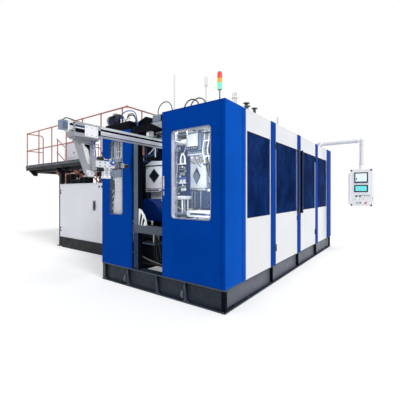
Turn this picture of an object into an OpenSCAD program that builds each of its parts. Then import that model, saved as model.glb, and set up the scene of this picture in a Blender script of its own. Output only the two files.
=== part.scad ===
// Double-station blow moulding machine for jerrycans.
// X runs from the extruder (minus) to the long guarded side (plus), Y from the product
// exit (minus) to the far end, Z up. The origin is on the floor, at the centre of the
// clamp cell's anchor bolts.

/* [Clamp cell] */
// Width of the cell over its panels
cell_w = 2680; // [2600:10:2800]
// Length of the cell over its panels
cell_l = 6040; // [5980:10:6200]
// Top of the base beams, and lower edge of the panels
base_h = 315; // [280:5:340]
// Top of the guarded side and of the front cabin
cabin_top = 2850; // [2820:10:3000]
// Top of the low panels on the extruder's side
low_top = 2690; // [2640:10:2720]
// Thickness of a folded sheet panel
panel_t = 40; // [30:1:45]
// Section of the square frame tubes
tube = 100; // [80:1:110]
// Underside of the cross bars that carry the shuttle rails
bar_z = 930; // [900:5:950]
// Height of those cross bars
bar_h = 128; // [100:1:140]
// Top of the roof tubes
roof_z = 2620; // [2600:5:2630]

/* [Base] */
// Flange width of the base beams
flange_w = 160; // [140:1:180]
// Flange thickness
flange_t = 16; // [12:1:20]
// Web thickness
web_t = 14; // [10:1:18]
// How far the web stands behind the flange's edge
web_in = 60; // [50:1:70]
// Radius of an anchor bolt hole
anchor_r = 12; // [9:0.5:14]
// Anchor bolts: spacing across the cell
anchor_x = 2400; // [2340:10:2420]
// Anchor bolts: spacing along the cell
anchor_y = 5600; // [5400:10:5680]
// Width of a lifting ear
ear_t = 26; // [20:1:40]

/* [Windows] */
// Lower edge of every window
win_z0 = 1225; // [1150:5:1300]
// Upper edge of every window
win_z1 = 2525; // [2400:5:2540]
// Corner radius of the blue doors' windows
win_r = 48; // [30:1:80]
// Thickness of a pane
pane_t = 8; // [6:1:10]
// How far a pane laps behind its frame
pane_lap = 18; // [12:1:24]
// How far a pane stands behind the panel's face
pane_in = 8; // [4:1:12]

/* [Front] */
// Width of the hinged front door
door_w = 1085; // [1000:5:1120]
// Width of the corner post beside the door
corner_w = 48; // [40:1:60]
// Gap round a door
door_gap = 5; // [3:0.5:8]
// Width of the front door's window
front_win_w = 713; // [600:5:800]
// From the door's free edge to its window
front_win_in = 193; // [150:1:220]
// Width of the fixed panel on the extruder's side
left_w = 800; // [760:5:820]
// Width of that panel's narrow window
left_win_w = 358; // [300:2:400]
// From that panel's outer edge to its window
left_win_in = 226; // [200:1:260]

/* [Long side] */
// Depth of the blue return behind the front corner
return_l = 482; // [420:2:500]
// Width of the narrow blue strip after the return
strip_w = 101; // [80:1:110]
// Distance from the front to the first pillar's centre
pillar_first = 1614; // [1580:2:1650]
// Distance between pillars
pillar_pitch = 1427; // [1400:1:1440]
// Width of a pillar
pillar_w = 196; // [160:1:210]
// Width of the pillar at the far end
end_pillar_w = 478; // [400:2:500]
// How far a pillar stands proud of the panels
proud = 12; // [8:1:16]
// White margin beside a tinted window
side_margin = 34; // [28:1:60]

/* [Hinges] */
// Height of a hinge
hinge_h = 120; // [80:2:160]
// Radius of a hinge knuckle
knuckle_r = 9; // [8:0.5:10]
// Radius of a hinge pin
pin_r = 5; // [4:0.5:6]
// Centre height of the lower hinges
hinge_low = 620; // [560:5:700]
// Centre height of the upper hinges
hinge_high = 2440; // [2300:5:2500]

/* [Clamp] */
// Clamp centre line, measured from the cell's centre
clamp_x = -230; // [-240:1:-220]
// Distance of the exit's rounded casing from the clamps' centre line
casing_in = 480; // [460:1:500]
// Radius of the exit's rounded casing
casing_r = 380; // [350:1:390]
// Travel of a clamp between its two stations
shuttle = 1800; // [1700:10:1840]
// Length of a clamp carriage along the shuttle
carriage_l = 760; // [700:5:800]
// Half width of a carriage
carriage_half = 900; // [880:2:915]
// Thickness of a carriage end plate
end_plate_t = 45; // [30:1:60]
// Opening stroke of one platen
stroke = 300; // [250:5:305]
// Depth of one mould half
mould_t = 150; // [120:2:154]
// Depth of one platen
platen_t = 300; // [260:5:315]
// Length of a platen
platen_l = 700; // [660:5:720]
// Height of a platen
platen_h = 600; // [560:5:610]
// Underside of the platens
platen_z = 1630; // [1620:2:1650]
// Wall of a platen
platen_wall = 40; // [30:1:50]
// Length of a mould half
mould_l = 560; // [500:5:600]
// Height of a mould half
mould_h = 540; // [500:5:550]
// Half diagonal of the diamond holes
diamond = 120; // [100:2:130]
// Radius of the guide bars
bar_r = 40; // [35:1:45]
// Centre height of the guide bars
bar_cz = 1560; // [1555:1:1565]
// Distance of each guide bar from the clamp's middle
bar_y = 240; // [220:2:250]
// Radius of a closing cylinder's rod
rod_r = 22; // [18:1:26]
// Outer radius of a closing cylinder
cyl_r = 55; // [50:1:60]
// Centre height of the closing cylinders
cyl_z = 1340; // [1330:1:1350]
// Running clearance of rods, bars and pins
run = 0.06; // [0.03:0.01:0.09]
// Height of a shuttle rail
rail_h = 40; // [30:1:50]
// Width of a shuttle rail
rail_w = 50; // [40:1:60]
// Distance of each rail from the clamp centre line
rail_x = 620; // [560:5:660]

/* [Blow unit] */
// Travel of a blow pin
pin_travel = 300; // [200:10:320]
// Distance of each guide rod from the centre line
rod_x = 400; // [360:5:430]
// Radius of a guide rod
guide_r = 16; // [12:1:20]
// Top of the front unit's outer rod
rod_top = 4040; // [3900:10:4100]

/* [Extruder] */
// Height of the screw's axis
screw_z = 2760; // [2750:2:2775]
// Radius of the barrel
barrel_r = 85; // [70:1:90]
// Radius over the heater bands
band_r = 102; // [95:1:108]
// Number of heater bands
bands = 9; // [6:1:10]
// Radius of the die head
head_r = 170; // [140:2:190]
// Underside of the die head
head_z = 2330; // [2320:2:2360]
// Top of the die head's cylinder
head_top = 4080; // [3900:10:4100]
// Radius of the hopper
hopper_r = 270; // [240:2:280]
// Rise of the hopper's rim above the screw
hopper_rise = 930; // [900:10:960]
// Far end of the barrel
barrel_end = -4850; // [-4900:10:-4800]

/* [Roof] */
// Foot of the signal tower's lamps above the roof
lamp_rise = 293; // [250:1:320]
// Height of the signal tower's lamps
lamp_h = 232; // [200:1:240]
// Rise of the fume hood's ridge
hood_rise = 235; // [215:5:265]
// Rise of the roof's hose loops
hose_rise = 640; // [560:10:660]

/* [Platform] */
// Top of the deck
deck_z = 2500; // [2460:5:2540]
// Length of the material bin
bin_w = 780; // [700:10:820]
// Thickness of the deck and its edge
deck_t = 60; // [50:1:80]
// Near end of the deck
deck_x1 = -1960; // [-2000:5:-1900]
// Far end of the deck
deck_x0 = -7210; // [-7300:5:-7150]
// Half width of the deck
deck_half = 1950; // [1900:5:2000]
// Half width of the slot round the extruder
slot_half = 520; // [480:5:560]
// Rise of the stair's handrail
hand_rise = 950; // [900:10:1000]
// Length of the stair well
well_l = 2050; // [1950:10:2100]
// Rise of the handrail above the deck
rail_rise = 1100; // [1000:10:1150]
// Radius of the rail pipes
pipe_r = 17; // [15:0.5:24]
// Steps in the stair
steps = 10; // [9:1:12]

/* [Cabinet] */
// Width of the control cabinet
cab_w = 2150; // [2000:10:2200]
// Top of the cabinet
cab_top = 1857; // [1800:5:1900]
// Depth of the cabinet
cab_d = 520; // [450:5:560]
// Width of its door
cab_door_w = 1830; // [1700:10:1850]

/* [Take-out robot] */
// Centre line of the beam
beam_x = -160; // [-180:2:-140]
// Underside of the beam
beam_z = 2375; // [2370:1:2378]
// Height of the beam
beam_h = 130; // [110:1:134]
// Width of the beam
beam_w = 110; // [90:1:120]
// How far the beam stands out of the cell
beam_out = 1340; // [1200:10:1400]
// How far the beam reaches into the cell
beam_in = 860; // [800:10:900]
// Travel of the robot's carriage
robot_travel = 1600; // [1500:10:1620]
// Depth of the hanging arm
arm_drop = 500; // [450:5:520]
// Opening of each gripper finger
finger_travel = 40; // [20:1:50]

/* [Operator panel] */
// Reach of the swing arm
hmi_reach = 1020; // [900:10:1040]
// Distance of the pivot from the far end
hmi_back = 840; // [800:5:900]
// Height of the arm
hmi_z = 2950; // [2925:5:2980]
// Radius of the arm tube
hmi_tube_r = 38; // [30:1:45]
// Width of the panel box
hmi_w = 490; // [440:5:520]
// Height of the panel box
hmi_h = 940; // [860:5:960]
// Depth of the panel box
hmi_d = 170; // [150:5:200]
// Top of the panel box
hmi_top = 2205; // [2150:5:2250]
// Travel of a push button
press = 5; // [3:0.5:6]

/* [Hidden] */
$fn = 64;

hw = cell_w/2;
hl = cell_l/2;
yf = -hl;
e = 1;
eps = 0.01;
tin = panel_t + tube;
pillar_y = [for (i = [0:2]) yf + pillar_first + i*pillar_pitch];
ret_y = yf + return_l;
strip_y = ret_y + strip_w;
end_y = hl - end_pillar_w;
door_x1 = hw - corner_w - door_gap;
door_x0 = door_x1 - door_w;
left_x1 = -hw + left_w;
bar_top = bar_z + bar_h;
rail_top = bar_top + rail_h;
st_front = -shuttle;
st_rear = shuttle;
front_axis = [hw - corner_w - door_gap/2, yf - knuckle_r];
side_ax = hw + proud + knuckle_r;
a_y0 = pillar_y[0] + pillar_w/2;
a_y1 = pillar_y[1] - pillar_w/2;
b_y0 = pillar_y[1] + pillar_w/2;
b_y1 = pillar_y[2] - pillar_w/2;
platen_top = platen_z + platen_h;
mould_z = platen_z + (platen_h - mould_h)/2;
cross_z = platen_top + pin_travel + 15;
roof_top = roof_z + tube;
arm_y = yf - beam_out + 250;
cyl_len = carriage_half - end_plate_t - stroke - mould_t - 45;
beam_y0 = yf - beam_out;
beam_y1 = yf + beam_in;
cab_x0 = -5106;
cab_y = -deck_half + 90;
stair_x0 = deck_x0 + 710;
stair_y0 = cab_y + cab_d + 40;
stair_w = -slot_half - 80 - stair_y0;
leg_y = deck_half - 250;
mid_leg = deck_x0 + 1910;
last_leg = deck_x1 - 740;
bin_x0 = deck_x0 + 1950;
bin_x1 = bin_x0 + bin_w;
bin_y0 = -deck_half + 310;
bin_y1 = stair_y0 - 40;
motor_end = 900;
cab_hinge_low = base_h + 220;
cab_hinge_high = cab_top - 220;
pv = [hw - panel_t - tube/2, hl - hmi_back];
hx = pv[0] + hmi_reach;
lead_x = [rod_x, -rod_x];

blue = [0.06, 0.24, 0.62];
white = [0.93, 0.93, 0.94];
dark = [0.22, 0.24, 0.26];
grey = [0.60, 0.62, 0.65];
steel = [0.72, 0.73, 0.75];
black = [0.06, 0.06, 0.07];
tint = [0.07, 0.09, 0.20];
salmon = [0.80, 0.36, 0.32];

// a box between two opposite corners
module bb(x0, x1, y0, y1, z0, z1) {
  translate([x0, y0, z0]) cube([x1 - x0, y1 - y0, z1 - z0]);
}

// round bars along X, Y and Z
module cx(x0, x1, y, z, r) {
  translate([x0, y, z]) rotate([0, 90, 0]) cylinder(r = r, h = x1 - x0);
}
module cy(x, y0, y1, z, r) {
  translate([x, y0, z]) rotate([-90, 0, 0]) cylinder(r = r, h = y1 - y0);
}
module cz(x, y, z0, z1, r) {
  translate([x, y, z0]) cylinder(r = r, h = z1 - z0);
}

// an outline in X and Z stood up and drawn along +Y
module xz(y0, y1) {
  translate([0, y1, 0]) rotate([90, 0, 0]) linear_extrude(y1 - y0) children();
}

// an outline in Y and Z stood up and drawn along +X
module yz(x0, x1) {
  translate([x0, 0, 0]) rotate([90, 0, 90]) linear_extrude(x1 - x0) children();
}

// a rectangle with rounded corners between two corners
module rr(x0, x1, y0, y1, r) {
  translate([x0 + r, y0]) square([x1 - x0 - 2*r, y1 - y0]);
  translate([x0, y0 + r]) square([x1 - x0, y1 - y0 - 2*r]);
  for (x = [x0 + r, x1 - r]) for (y = [y0 + r, y1 - r]) translate([x, y]) circle(r = r);
}

// a folded panel seen from the front: a tray with a returned edge, and its window
module tray(u0, u1, z0, z1, w0, w1, r) {
  difference() {
    translate([u0, z0]) square([u1 - u0, z1 - z0]);
    if (w1 > w0) rr(w0, w1, win_z0, win_z1, r);
  }
}

// a panel in the XZ plane whose face looks to -Y at y
module panel_y(x0, x1, y, z0, z1, w0, w1, r) {
  difference() {
    xz(y, y + panel_t) tray(x0, x1, z0, z1, w0, w1, r);
    if (w1 > w0) xz(y + pane_in, y + panel_t + e) pane_cut(w0, w1, r);
  }
}

// a panel in the YZ plane whose face looks to +X at x
module panel_x(y0, y1, x, z0, z1, w0, w1, r) {
  difference() {
    yz(x - panel_t, x) tray(y0, y1, z0, z1, w0, w1, r);
    if (w1 > w0) yz(x - panel_t - e, x - pane_in) pane_cut(w0, w1, r);
  }
}

// the rebate that takes the pane
module pane_cut(w0, w1, r) {
  rr(w0 - pane_lap, w1 + pane_lap, win_z0 - pane_lap, win_z1 + pane_lap, r + pane_lap);
}

// a pane in its rebate, for the two directions
module pane_y(w0, w1, y, r) {
  xz(y + pane_in, y + pane_in + pane_t) pane_cut(w0, w1, r);
}
module pane_x(w0, w1, x, r) {
  yz(x - pane_in - pane_t, x - pane_in) pane_cut(w0, w1, r);
}

// the fixed half of a hinge: axis at the origin, fixed face to -X, outward is +Y
module hinge_half() {
  h3 = hinge_h/3;
  difference() {
    bb(-46, -knuckle_r + 3, -knuckle_r, -knuckle_r + 5, -hinge_h/2, hinge_h/2);
    cylinder(r = knuckle_r + 1, h = h3 + 1, center = true);
    for (s = [-1, 1]) translate([0, 0, s*h3]) cylinder(r = knuckle_r - 2, h = h3 + 2, center = true);
  }
  for (s = [-1, 1]) translate([0, 0, s*(h3 + 0.5)]) cylinder(r = knuckle_r, h = h3 - 1, center = true);
  cylinder(r = pin_r, h = hinge_h - 4, center = true);
}

// the moving half: a block from the door's face, which lies d behind the axis
module hinge_block(d) {
  h3 = hinge_h/3;
  difference() {
    union() {
      cylinder(r = knuckle_r, h = h3 - 2, center = true);
      bb(0, 56, -d, -d + 8, -h3/2 + 1, h3/2 - 1);
      bb(0, 12, -d, 0, -h3/2 + 1, h3/2 - 1);
      bb(14, 56, -d, -d + 5, -hinge_h/2, hinge_h/2);
    }
    cylinder(r = pin_r + run, h = hinge_h, center = true);
  }
}

// puts a hinge on the front door's axis, and on the two side doors' axes
module at_front(z) {
  translate([front_axis[0], front_axis[1], z]) rotate([0, 0, 180]) children();
}
module at_side_a(z) {
  translate([side_ax, a_y0 + door_gap/2, z]) rotate([0, 0, 90]) mirror([0, 1, 0]) children();
}
module at_side_b(z) {
  translate([side_ax, b_y1 - door_gap/2, z]) rotate([0, 0, -90]) children();
}

// base beams: H sections laid as a ring, cross beams, stiffeners, ears and anchor feet
module h_x(x0, x1, yc) {
  wy = yc - web_t/2;
  bb(x0, x1, yc - flange_w/2, yc + flange_w/2, 0, flange_t);
  bb(x0, x1, yc - flange_w/2, yc + flange_w/2, base_h - flange_t, base_h);
  bb(x0, x1, wy, wy + web_t, flange_t - e, base_h - flange_t + e);
}
module base_frame() color(dark) difference() {
  union() {
    for (s = [-1, 1]) {
      x0 = (s > 0) ? hw - flange_w : -hw;
      wx = (s > 0) ? hw - web_in - web_t : -hw + web_in;
      bb(x0, x0 + flange_w, -hl, hl, 0, flange_t);
      bb(x0, x0 + flange_w, -hl, hl, base_h - flange_t, base_h);
      bb(wx, wx + web_t, -hl + web_in, hl - web_in, flange_t - e, base_h - flange_t + e);
      bb(-hw, hw, (s > 0) ? hl - flange_w : -hl, (s > 0) ? hl : -hl + flange_w, 0, flange_t);
      bb(-hw, hw, (s > 0) ? hl - flange_w : -hl, (s > 0) ? hl : -hl + flange_w,
        base_h - flange_t, base_h);
      wy = (s > 0) ? hl - web_in - web_t : -hl + web_in;
      bb(-hw + web_in, hw - web_in, wy, wy + web_t, flange_t - e, base_h - flange_t + e);
      for (y = concat(pillar_y, [-hl + 12, hl - 24])) {
        bb(min(s*(hw - 6), s*(hw - web_in - 4)), max(s*(hw - 6), s*(hw - web_in - 4)),
          y, y + 12, flange_t - e, base_h - flange_t + e);
      }
      for (x = [-640, 60, 640, -hw + 12, hw - 24]) {
        bb(x, x + 12, min(s*(hl - 6), s*(hl - web_in - 4)), max(s*(hl - 6), s*(hl - web_in - 4)),
          flange_t - e, base_h - flange_t + e);
      }
      for (x = [-690, 600]) translate([x, s*(hl - 30), 120]) rotate([90, 0, 90])
        linear_extrude(ear_t) difference() {
          union() {
            circle(r = 62);
            translate([(s > 0) ? -50 : 0, -44]) square([50, 160]);
          }
          translate([s*14, 6]) circle(r = 24);
        }
      for (x = [-1, 1]) bb(x*anchor_x/2 - 100, x*anchor_x/2 + 100,
        s*anchor_y/2 - 100, s*anchor_y/2 + 100, 0, flange_t + 8);
    }
    for (y = pillar_y) h_x(-hw + web_in, hw - web_in, y);
  }
  for (x = [-1, 1]) for (y = [-1, 1]) cz(x*anchor_x/2, y*anchor_y/2, -e, 60, anchor_r);
}

// posts, cross bars, the ring of roof tubes, the gusset over the exit, the pendant's post
module cell_frame() color(grey) {
  xi = hw - panel_t;
  yi = hl - panel_t;
  gx = door_x0 - 6;
  difference() {
    union() {
      for (s = [-1, 1]) {
        x0 = (s > 0) ? xi - tube : -xi;
        for (y = concat([-yi + tube/2], pillar_y, [yi - tube/2]))
          bb(x0, x0 + tube, y - tube/2, y + tube/2, base_h, roof_top);
        bb(x0, x0 + tube, -yi, yi, roof_z, roof_top);
      }
      bb(door_x0 - 10, door_x0 - 10 + tube, -yi, -yi + tube, base_h, roof_top);
      bb(left_x1 + 36, left_x1 + 144, -yi, -yi + tube, base_h, roof_top);
      for (y = concat([-yi + tube/2], pillar_y, [yi - tube/2])) {
        bb(-xi + tube - e, xi - tube + e, y - tube/2, y + tube/2, bar_z, bar_top);
      }
      for (y = [-yi + tube/2, beam_y1 - 60, yi - tube/2]) {
        bb(-xi + tube - e, xi - tube + e, y - tube/2, y + tube/2, roof_z, roof_top);
      }
      xz(-yi, -yi + 30) polygon([[gx, roof_top - e], [gx, cabin_top - 20],
        [gx - 170, cabin_top - 20], [gx - 170, cabin_top - 70], [gx - 60, roof_top - e]]);
      cz(pv[0], pv[1], roof_top - e, hmi_z - hmi_tube_r - 10, 40);
      cz(pv[0], pv[1], roof_top - e, hmi_z + 10, 24);
    }
    bb(-hw, -hw + tin + e, -360, 360, screw_z - 180, roof_top + e);
  }
}

// the two rails that the clamps travel on, and the bar that holds the robot's beam
module shuttle_rails() color(steel) {
  for (s = [-1, 1]) {
    x = clamp_x + s*rail_x;
    bb(x - rail_w/2, x + rail_w/2, -hl + panel_t + 10, hl - panel_t - 10, bar_top, rail_top);
  }
}

// the blue panel with a narrow window at the front, on the extruder's side
module front_panels() color(blue) {
  w0 = -hw + left_win_in;
  panel_y(-hw, left_x1, yf, base_h, low_top, w0, w0 + left_win_w, win_r);
  cabin_return();
}

// the corner post, the blue return and the strip behind it
module cabin_return() {
  bb(hw - corner_w, hw, yf, yf + panel_t, base_h, cabin_top);
  panel_x(yf + panel_t, ret_y, hw, base_h, cabin_top, 0, 0, 1);
  panel_x(ret_y + 5, strip_y, hw, base_h, cabin_top, 0, 0, 1);
  bb(hw - panel_t, hw - 14, ret_y - e, ret_y + 6, base_h, cabin_top);
  bb(door_x0, hw - corner_w, yf + panel_t + 1, yf + panel_t + 9, roof_top, cabin_top);
  bb(hw - corner_w - e, hw - panel_t + e, yf + panel_t + 1, yf + panel_t + 9, roof_top, cabin_top);
}

// blue pillars between the panels of the long side
module side_pillars() color(blue) {
  for (y = pillar_y) {
    bb(hw - panel_t, hw + proud, y - pillar_w/2, y + pillar_w/2, base_h, cabin_top);
  }
  bb(hw - panel_t, hw + proud, end_y + 4, hl, base_h, cabin_top);
}

// white panels with a tinted window: the bay behind the cabin, and the last bay
module side_fixed_panels() {
  for (b = [[strip_y + 4, pillar_y[0] - pillar_w/2 - 4], [pillar_y[2] + pillar_w/2 + 4, end_y]])
    panel_x(b[0], b[1], hw, base_h, cabin_top, b[0] + side_margin, b[1] - side_margin, 10);
}

// the panes of the fixed panels
module fixed_panes() color(tint) {
  for (b = [[strip_y + 4, pillar_y[0] - pillar_w/2 - 4], [pillar_y[2] + pillar_w/2 + 4, end_y]])
    pane_x(b[0] + side_margin, b[1] - side_margin, hw, 10);
  w0 = -hw + left_win_in;
  pane_y(w0, w0 + left_win_w, yf, win_r);
}

// plain panels across the far end and on the extruder's side, where the barrel comes in
module plain_panels() {
  w = (cell_w - 2*panel_t - 8)/3;
  edges = concat([yf + panel_t], pillar_y, [hl - panel_t]);
  for (i = [0:2]) {
    x0 = -hw + panel_t + i*(w + 4);
    bb(x0, x0 + w, hl - panel_t, hl, base_h, (i == 2) ? cabin_top : low_top);
  }
  difference() {
    for (i = [0:3]) bb(-hw, -hw + panel_t, edges[i] + 2, edges[i + 1] - 2, base_h, low_top);
    bb(-hw - e, -hw + panel_t + e, -460, 460, screw_z - 300, low_top + e);
  }
}

module white_panels() color(white) {
  side_fixed_panels();
  plain_panels();
}

// rounded casing behind the exit, on a foot that stands on the shuttle rail
module exit_casing() color(blue) {
  x = clamp_x - casing_in;
  y1 = st_front - 480;
  y0 = y1 - 230;
  z = rail_top + 12;
  bb(x - casing_r - 15, x + casing_r + 15, y0 - 10, y1 + 10, rail_top, z + eps);
  difference() {
    cy(x, y0, y1, z, casing_r);
    bb(x - casing_r - e, x + casing_r + e, y0 - e, y1 + e, z - casing_r - e, z);
    cy(x, y0 + 10, y1 - 10, z, casing_r - 10);
  }
}

// fixed leaves, outer knuckles and pins of the three guarded doors
module door_hinges() color(black) {
  for (z = [hinge_low, hinge_high]) {
    at_front(z) hinge_half();
    at_side_a(z) hinge_half();
    at_side_b(z) hinge_half();
  }
  for (z = [cab_hinge_low, cab_hinge_high]) at_cab(z) hinge_half();
}

// the hinged blue door
module front_door() color(blue) {
  w0 = door_x0 + front_win_in;
  panel_y(door_x0, door_x1, yf, base_h + 4, cabin_top, w0, w0 + front_win_w, win_r);
}
module front_door_pane() color(tint) {
  w0 = door_x0 + front_win_in;
  pane_y(w0, w0 + front_win_w, yf, win_r);
}

// its hinge blocks and its bow handle
module front_door_fittings() color(steel) {
  for (z = [hinge_low, hinge_high]) at_front(z) hinge_block(knuckle_r);
  x = door_x0 + 36;
  bb(x - 14, x + 14, yf - 6, yf, 1660, 1860);
  for (z = [1690, 1830]) cy(x, yf - 48, yf - 5, z, 9);
  cz(x, yf - 48, 1670, 1850, 11);
}

// the two white doors of the long side, each hung on a blue pillar
module side_door_a() color(white) {
  y0 = a_y0 + door_gap;
  y1 = a_y1 - door_gap;
  panel_x(y0, y1, hw, base_h + 4, cabin_top, y0 + side_margin, y1 - side_margin, 10);
}
module side_door_a_pane() color(tint) {
  pane_x(a_y0 + door_gap + side_margin, a_y1 - door_gap - side_margin, hw, 10);
}
module side_pull(y) {
  for (z = [win_z0 + 20, win_z1 - 40]) bb(hw, hw + 46, y - 10, y + 10, z, z + 20);
  bb(hw + 34, hw + 56, y - 13, y + 13, win_z0 - 60, win_z1);
}
module side_door_a_fittings() color(black) {
  for (z = [hinge_low, hinge_high]) at_side_a(z) hinge_block(knuckle_r + proud);
  side_pull(a_y1 - door_gap - side_margin/2);
}
module side_door_b() color(white) {
  y0 = b_y0 + door_gap;
  y1 = b_y1 - door_gap;
  panel_x(y0, y1, hw, base_h + 4, cabin_top, y0 + side_margin, y1 - side_margin, 10);
}
module side_door_b_pane() color(tint) {
  pane_x(b_y0 + door_gap + side_margin, b_y1 - door_gap - side_margin, hw, 10);
}
module side_door_b_fittings() color(black) {
  for (z = [hinge_low, hinge_high]) at_side_b(z) hinge_block(knuckle_r + proud);
  side_pull(b_y0 + door_gap + side_margin/2);
}

// a clamp's carriage: shoes on the rails, bed, end plates, guide bars and cylinders
module carriage(yc) {
  h = carriage_l/2;
  xa = clamp_x - carriage_half;
  xb = clamp_x + carriage_half;
  bed = rail_top + 12;
  for (s = [-1, 1]) difference() {
    bb(clamp_x + s*rail_x - 70, clamp_x + s*rail_x + 70, yc - h, yc + h, rail_top - 28, bed + e);
    bb(clamp_x + s*rail_x - rail_w/2 - run, clamp_x + s*rail_x + rail_w/2 + run,
      yc - h - e, yc + h + e, rail_top - 40, rail_top + run);
  }
  bb(xa, xb, yc - h, yc + h, bed, bed + 50);
  for (s = [-1, 1]) {
    x0 = (s > 0) ? xb - end_plate_t : xa;
    difference() {
      bb(x0, x0 + end_plate_t, yc - h, yc + h, bed + 49, bar_cz + 130);
      cx(x0 - e, x0 + end_plate_t + e, yc, bar_cz - 60, 60);
    }
    for (y = [-bar_y, bar_y]) {
      xe = (s > 0) ? xb - end_plate_t - cyl_len : xa + end_plate_t - e;
      difference() {
        cx(xe, xe + cyl_len + e, yc + y, cyl_z, cyl_r);
        cx((s > 0) ? xe - e : xe + 20, (s > 0) ? xe + cyl_len - 20 : xe + cyl_len + 2*e,
          yc + y, cyl_z, rod_r + run);
      }
    }
  }
  for (y = [-bar_y, bar_y]) cx(xa, xb, yc + y, bar_cz, bar_r);
}

// one platen of a clamp: s = -1 towards the extruder, s = 1 towards the long side
module platen(yc, s) {
  xi = clamp_x + s*(stroke + mould_t);
  xo = xi + s*platen_t;
  x0 = min(xi, xo);
  x1 = max(xi, xo);
  h = platen_l/2;
  difference() {
    bb(x0, x1, yc - h, yc + h, platen_z, platen_top);
    for (k = [-1, 1]) bb(x0 + platen_wall, x1 - platen_wall,
      (k < 0) ? yc - h - e : yc + 30, (k < 0) ? yc - 30 : yc + h + e,
      platen_z + 210, platen_top - 110);
    for (z = [platen_z + 300]) translate([(x0 + x1)/2, yc - h - e, z]) rotate([-90, 0, 0])
      linear_extrude(platen_l + 2*e) polygon([[0, diamond], [diamond, 0], [0, -diamond], [-diamond, 0]]);
  }
  for (y = [-bar_y, bar_y]) difference() {
    bb(x0, x1, yc + y - 80, yc + y + 80, bar_cz - 80, platen_z + e);
    cx(x0 - e, x1 + e, yc + y, bar_cz, bar_r + run);
  }
  xl = (s < 0) ? xi - 40 : xi;
  for (y = [-bar_y, bar_y]) {
    bb(xl, xl + 40, yc + y - 60, yc + y + 60, cyl_z - 50, bar_cz - 79);
    cx((s < 0) ? clamp_x - carriage_half + end_plate_t + 30 : xl + 39,
      (s < 0) ? xl + 1 : clamp_x + carriage_half - end_plate_t - 30, yc + y, cyl_z, rod_r);
  }
}

// one mould half with half of the can's cavity and neck
module mould(yc, s) {
  xi = clamp_x + s*stroke;
  xo = xi + s*mould_t;
  difference() {
    bb(min(xi, xo), max(xi, xo), yc - mould_l/2, yc + mould_l/2, mould_z, mould_z + mould_h);
    intersection() {
      bb(xi - 110, xi + 110, yc - 180, yc + 180, mould_z + 60, mould_z + mould_h - 90);
      translate([xi, yc, 0]) rotate([0, 0, 45]) translate([-190, -190, 0])
        cube([380, 380, mould_z + mould_h]);
    }
    cz(xi, yc, mould_z + 200, mould_z + mould_h + e, 34);
    for (y = [-190, 190]) cx(xi - 30, xi + 30, yc + y, mould_z + 300, 14);
  }
}
module carriage_front() color(grey) carriage(st_front);
module platen_front_left() color(white) platen(st_front, -1);
module mould_front_left() color(steel) mould(st_front, -1);
module platen_front_right() color(white) platen(st_front, 1);
module mould_front_right() color(steel) mould(st_front, 1);
module carriage_rear() color(grey) carriage(0);
module platen_rear_left() color(white) platen(0, -1);
module mould_rear_left() color(steel) mould(0, -1);
module platen_rear_right() color(white) platen(0, 1);
module mould_rear_right() color(steel) mould(0, 1);

// bridges on the roof that guide the two blow units, each with its short cylinder
module blow_bridges() color(grey) for (yc = [st_front, st_rear]) difference() {
  union() {
    bb(-hw + panel_t + 2, hw - panel_t - 2, yc - 150, yc + 150, roof_top, roof_top + 40);
    cz(clamp_x, yc, roof_top + 39, roof_top + pin_travel + 120, 62);
    for (x = [-rod_x, rod_x]) cz(clamp_x + x, yc, roof_top + 39, roof_top + 90, guide_r + 22);
  }
  cz(clamp_x, yc, roof_top - e, roof_top + pin_travel + 90, 20 + run);
  for (x = [-rod_x, rod_x]) cz(clamp_x + x, yc, roof_top - e, roof_top + 91, guide_r + run);
}

// a blow unit: cross head, piston rod, two guide rods and the blow pin
module blow_unit(yc) {
  cz(clamp_x, yc, cross_z - e, roof_top + 60, 20);
  bb(clamp_x - rod_x - 50, clamp_x + rod_x + 50, yc - 60, yc + 60, cross_z, cross_z + 60);
  cz(clamp_x, yc, cross_z - 40, cross_z + e, 45);
  cz(clamp_x, yc, cross_z - 255, cross_z - 39, 21);
  cz(clamp_x - rod_x, yc, cross_z + e, rod_top, guide_r);
  cz(clamp_x + rod_x, yc, cross_z + e, rod_top - 240, guide_r);
  cz(clamp_x + rod_x, yc, rod_top - 410, rod_top - 239, guide_r + 12);
}
module blow_unit_front() color(steel) blow_unit(st_front);
module blow_unit_rear() color(steel) blow_unit(st_rear);

// die head with its flange, column and cylinder
module die_head() color(steel) {
  cz(clamp_x, 0, head_z, screw_z + 230, head_r);
  cz(clamp_x, 0, head_z - 42, head_z + e, 62);
  cz(clamp_x, 0, screw_z + 229, screw_z + 270, head_r + 22);
  cz(clamp_x, 0, screw_z + 269, head_top, 57);
  cx(clamp_x - head_r - 60, clamp_x - head_r + 20, 0, screw_z, barrel_r + 45);
}

// barrel with its bore and flanges
module barrel() color(steel) difference() {
  union() {
    cx(barrel_end, clamp_x - head_r - 60, 0, screw_z, barrel_r);
    cx(clamp_x - head_r - 100, clamp_x - head_r - 60, 0, screw_z, barrel_r + 45);
    cx(barrel_end, barrel_end + 60, 0, screw_z, barrel_r + 60);
    bb(barrel_end + 110, barrel_end + 330, -110, 110, screw_z, screw_z + 140);
  }
  cx(barrel_end - e, clamp_x - head_r - 110, 0, screw_z, 55 + run);
  cz(barrel_end + 220, 0, screw_z, screw_z + 141, 50);
}

// heater bands clamped round the barrel
module heater_bands() color(grey) {
  x0 = barrel_end + 420;
  x1 = clamp_x - head_r - 180;
  p = (x1 - x0)/bands;
  for (i = [0:bands - 1]) difference() {
    union() {
      cx(x0 + i*p + 20, x0 + (i + 1)*p - 20, 0, screw_z, band_r);
      bb(x0 + i*p + p/2 - 45, x0 + i*p + p/2 + 45, -40, 40, screw_z + band_r - 12, screw_z + band_r + 50);
    }
    cx(x0 + i*p, x0 + (i + 1)*p, 0, screw_z, barrel_r);
  }
}

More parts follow.
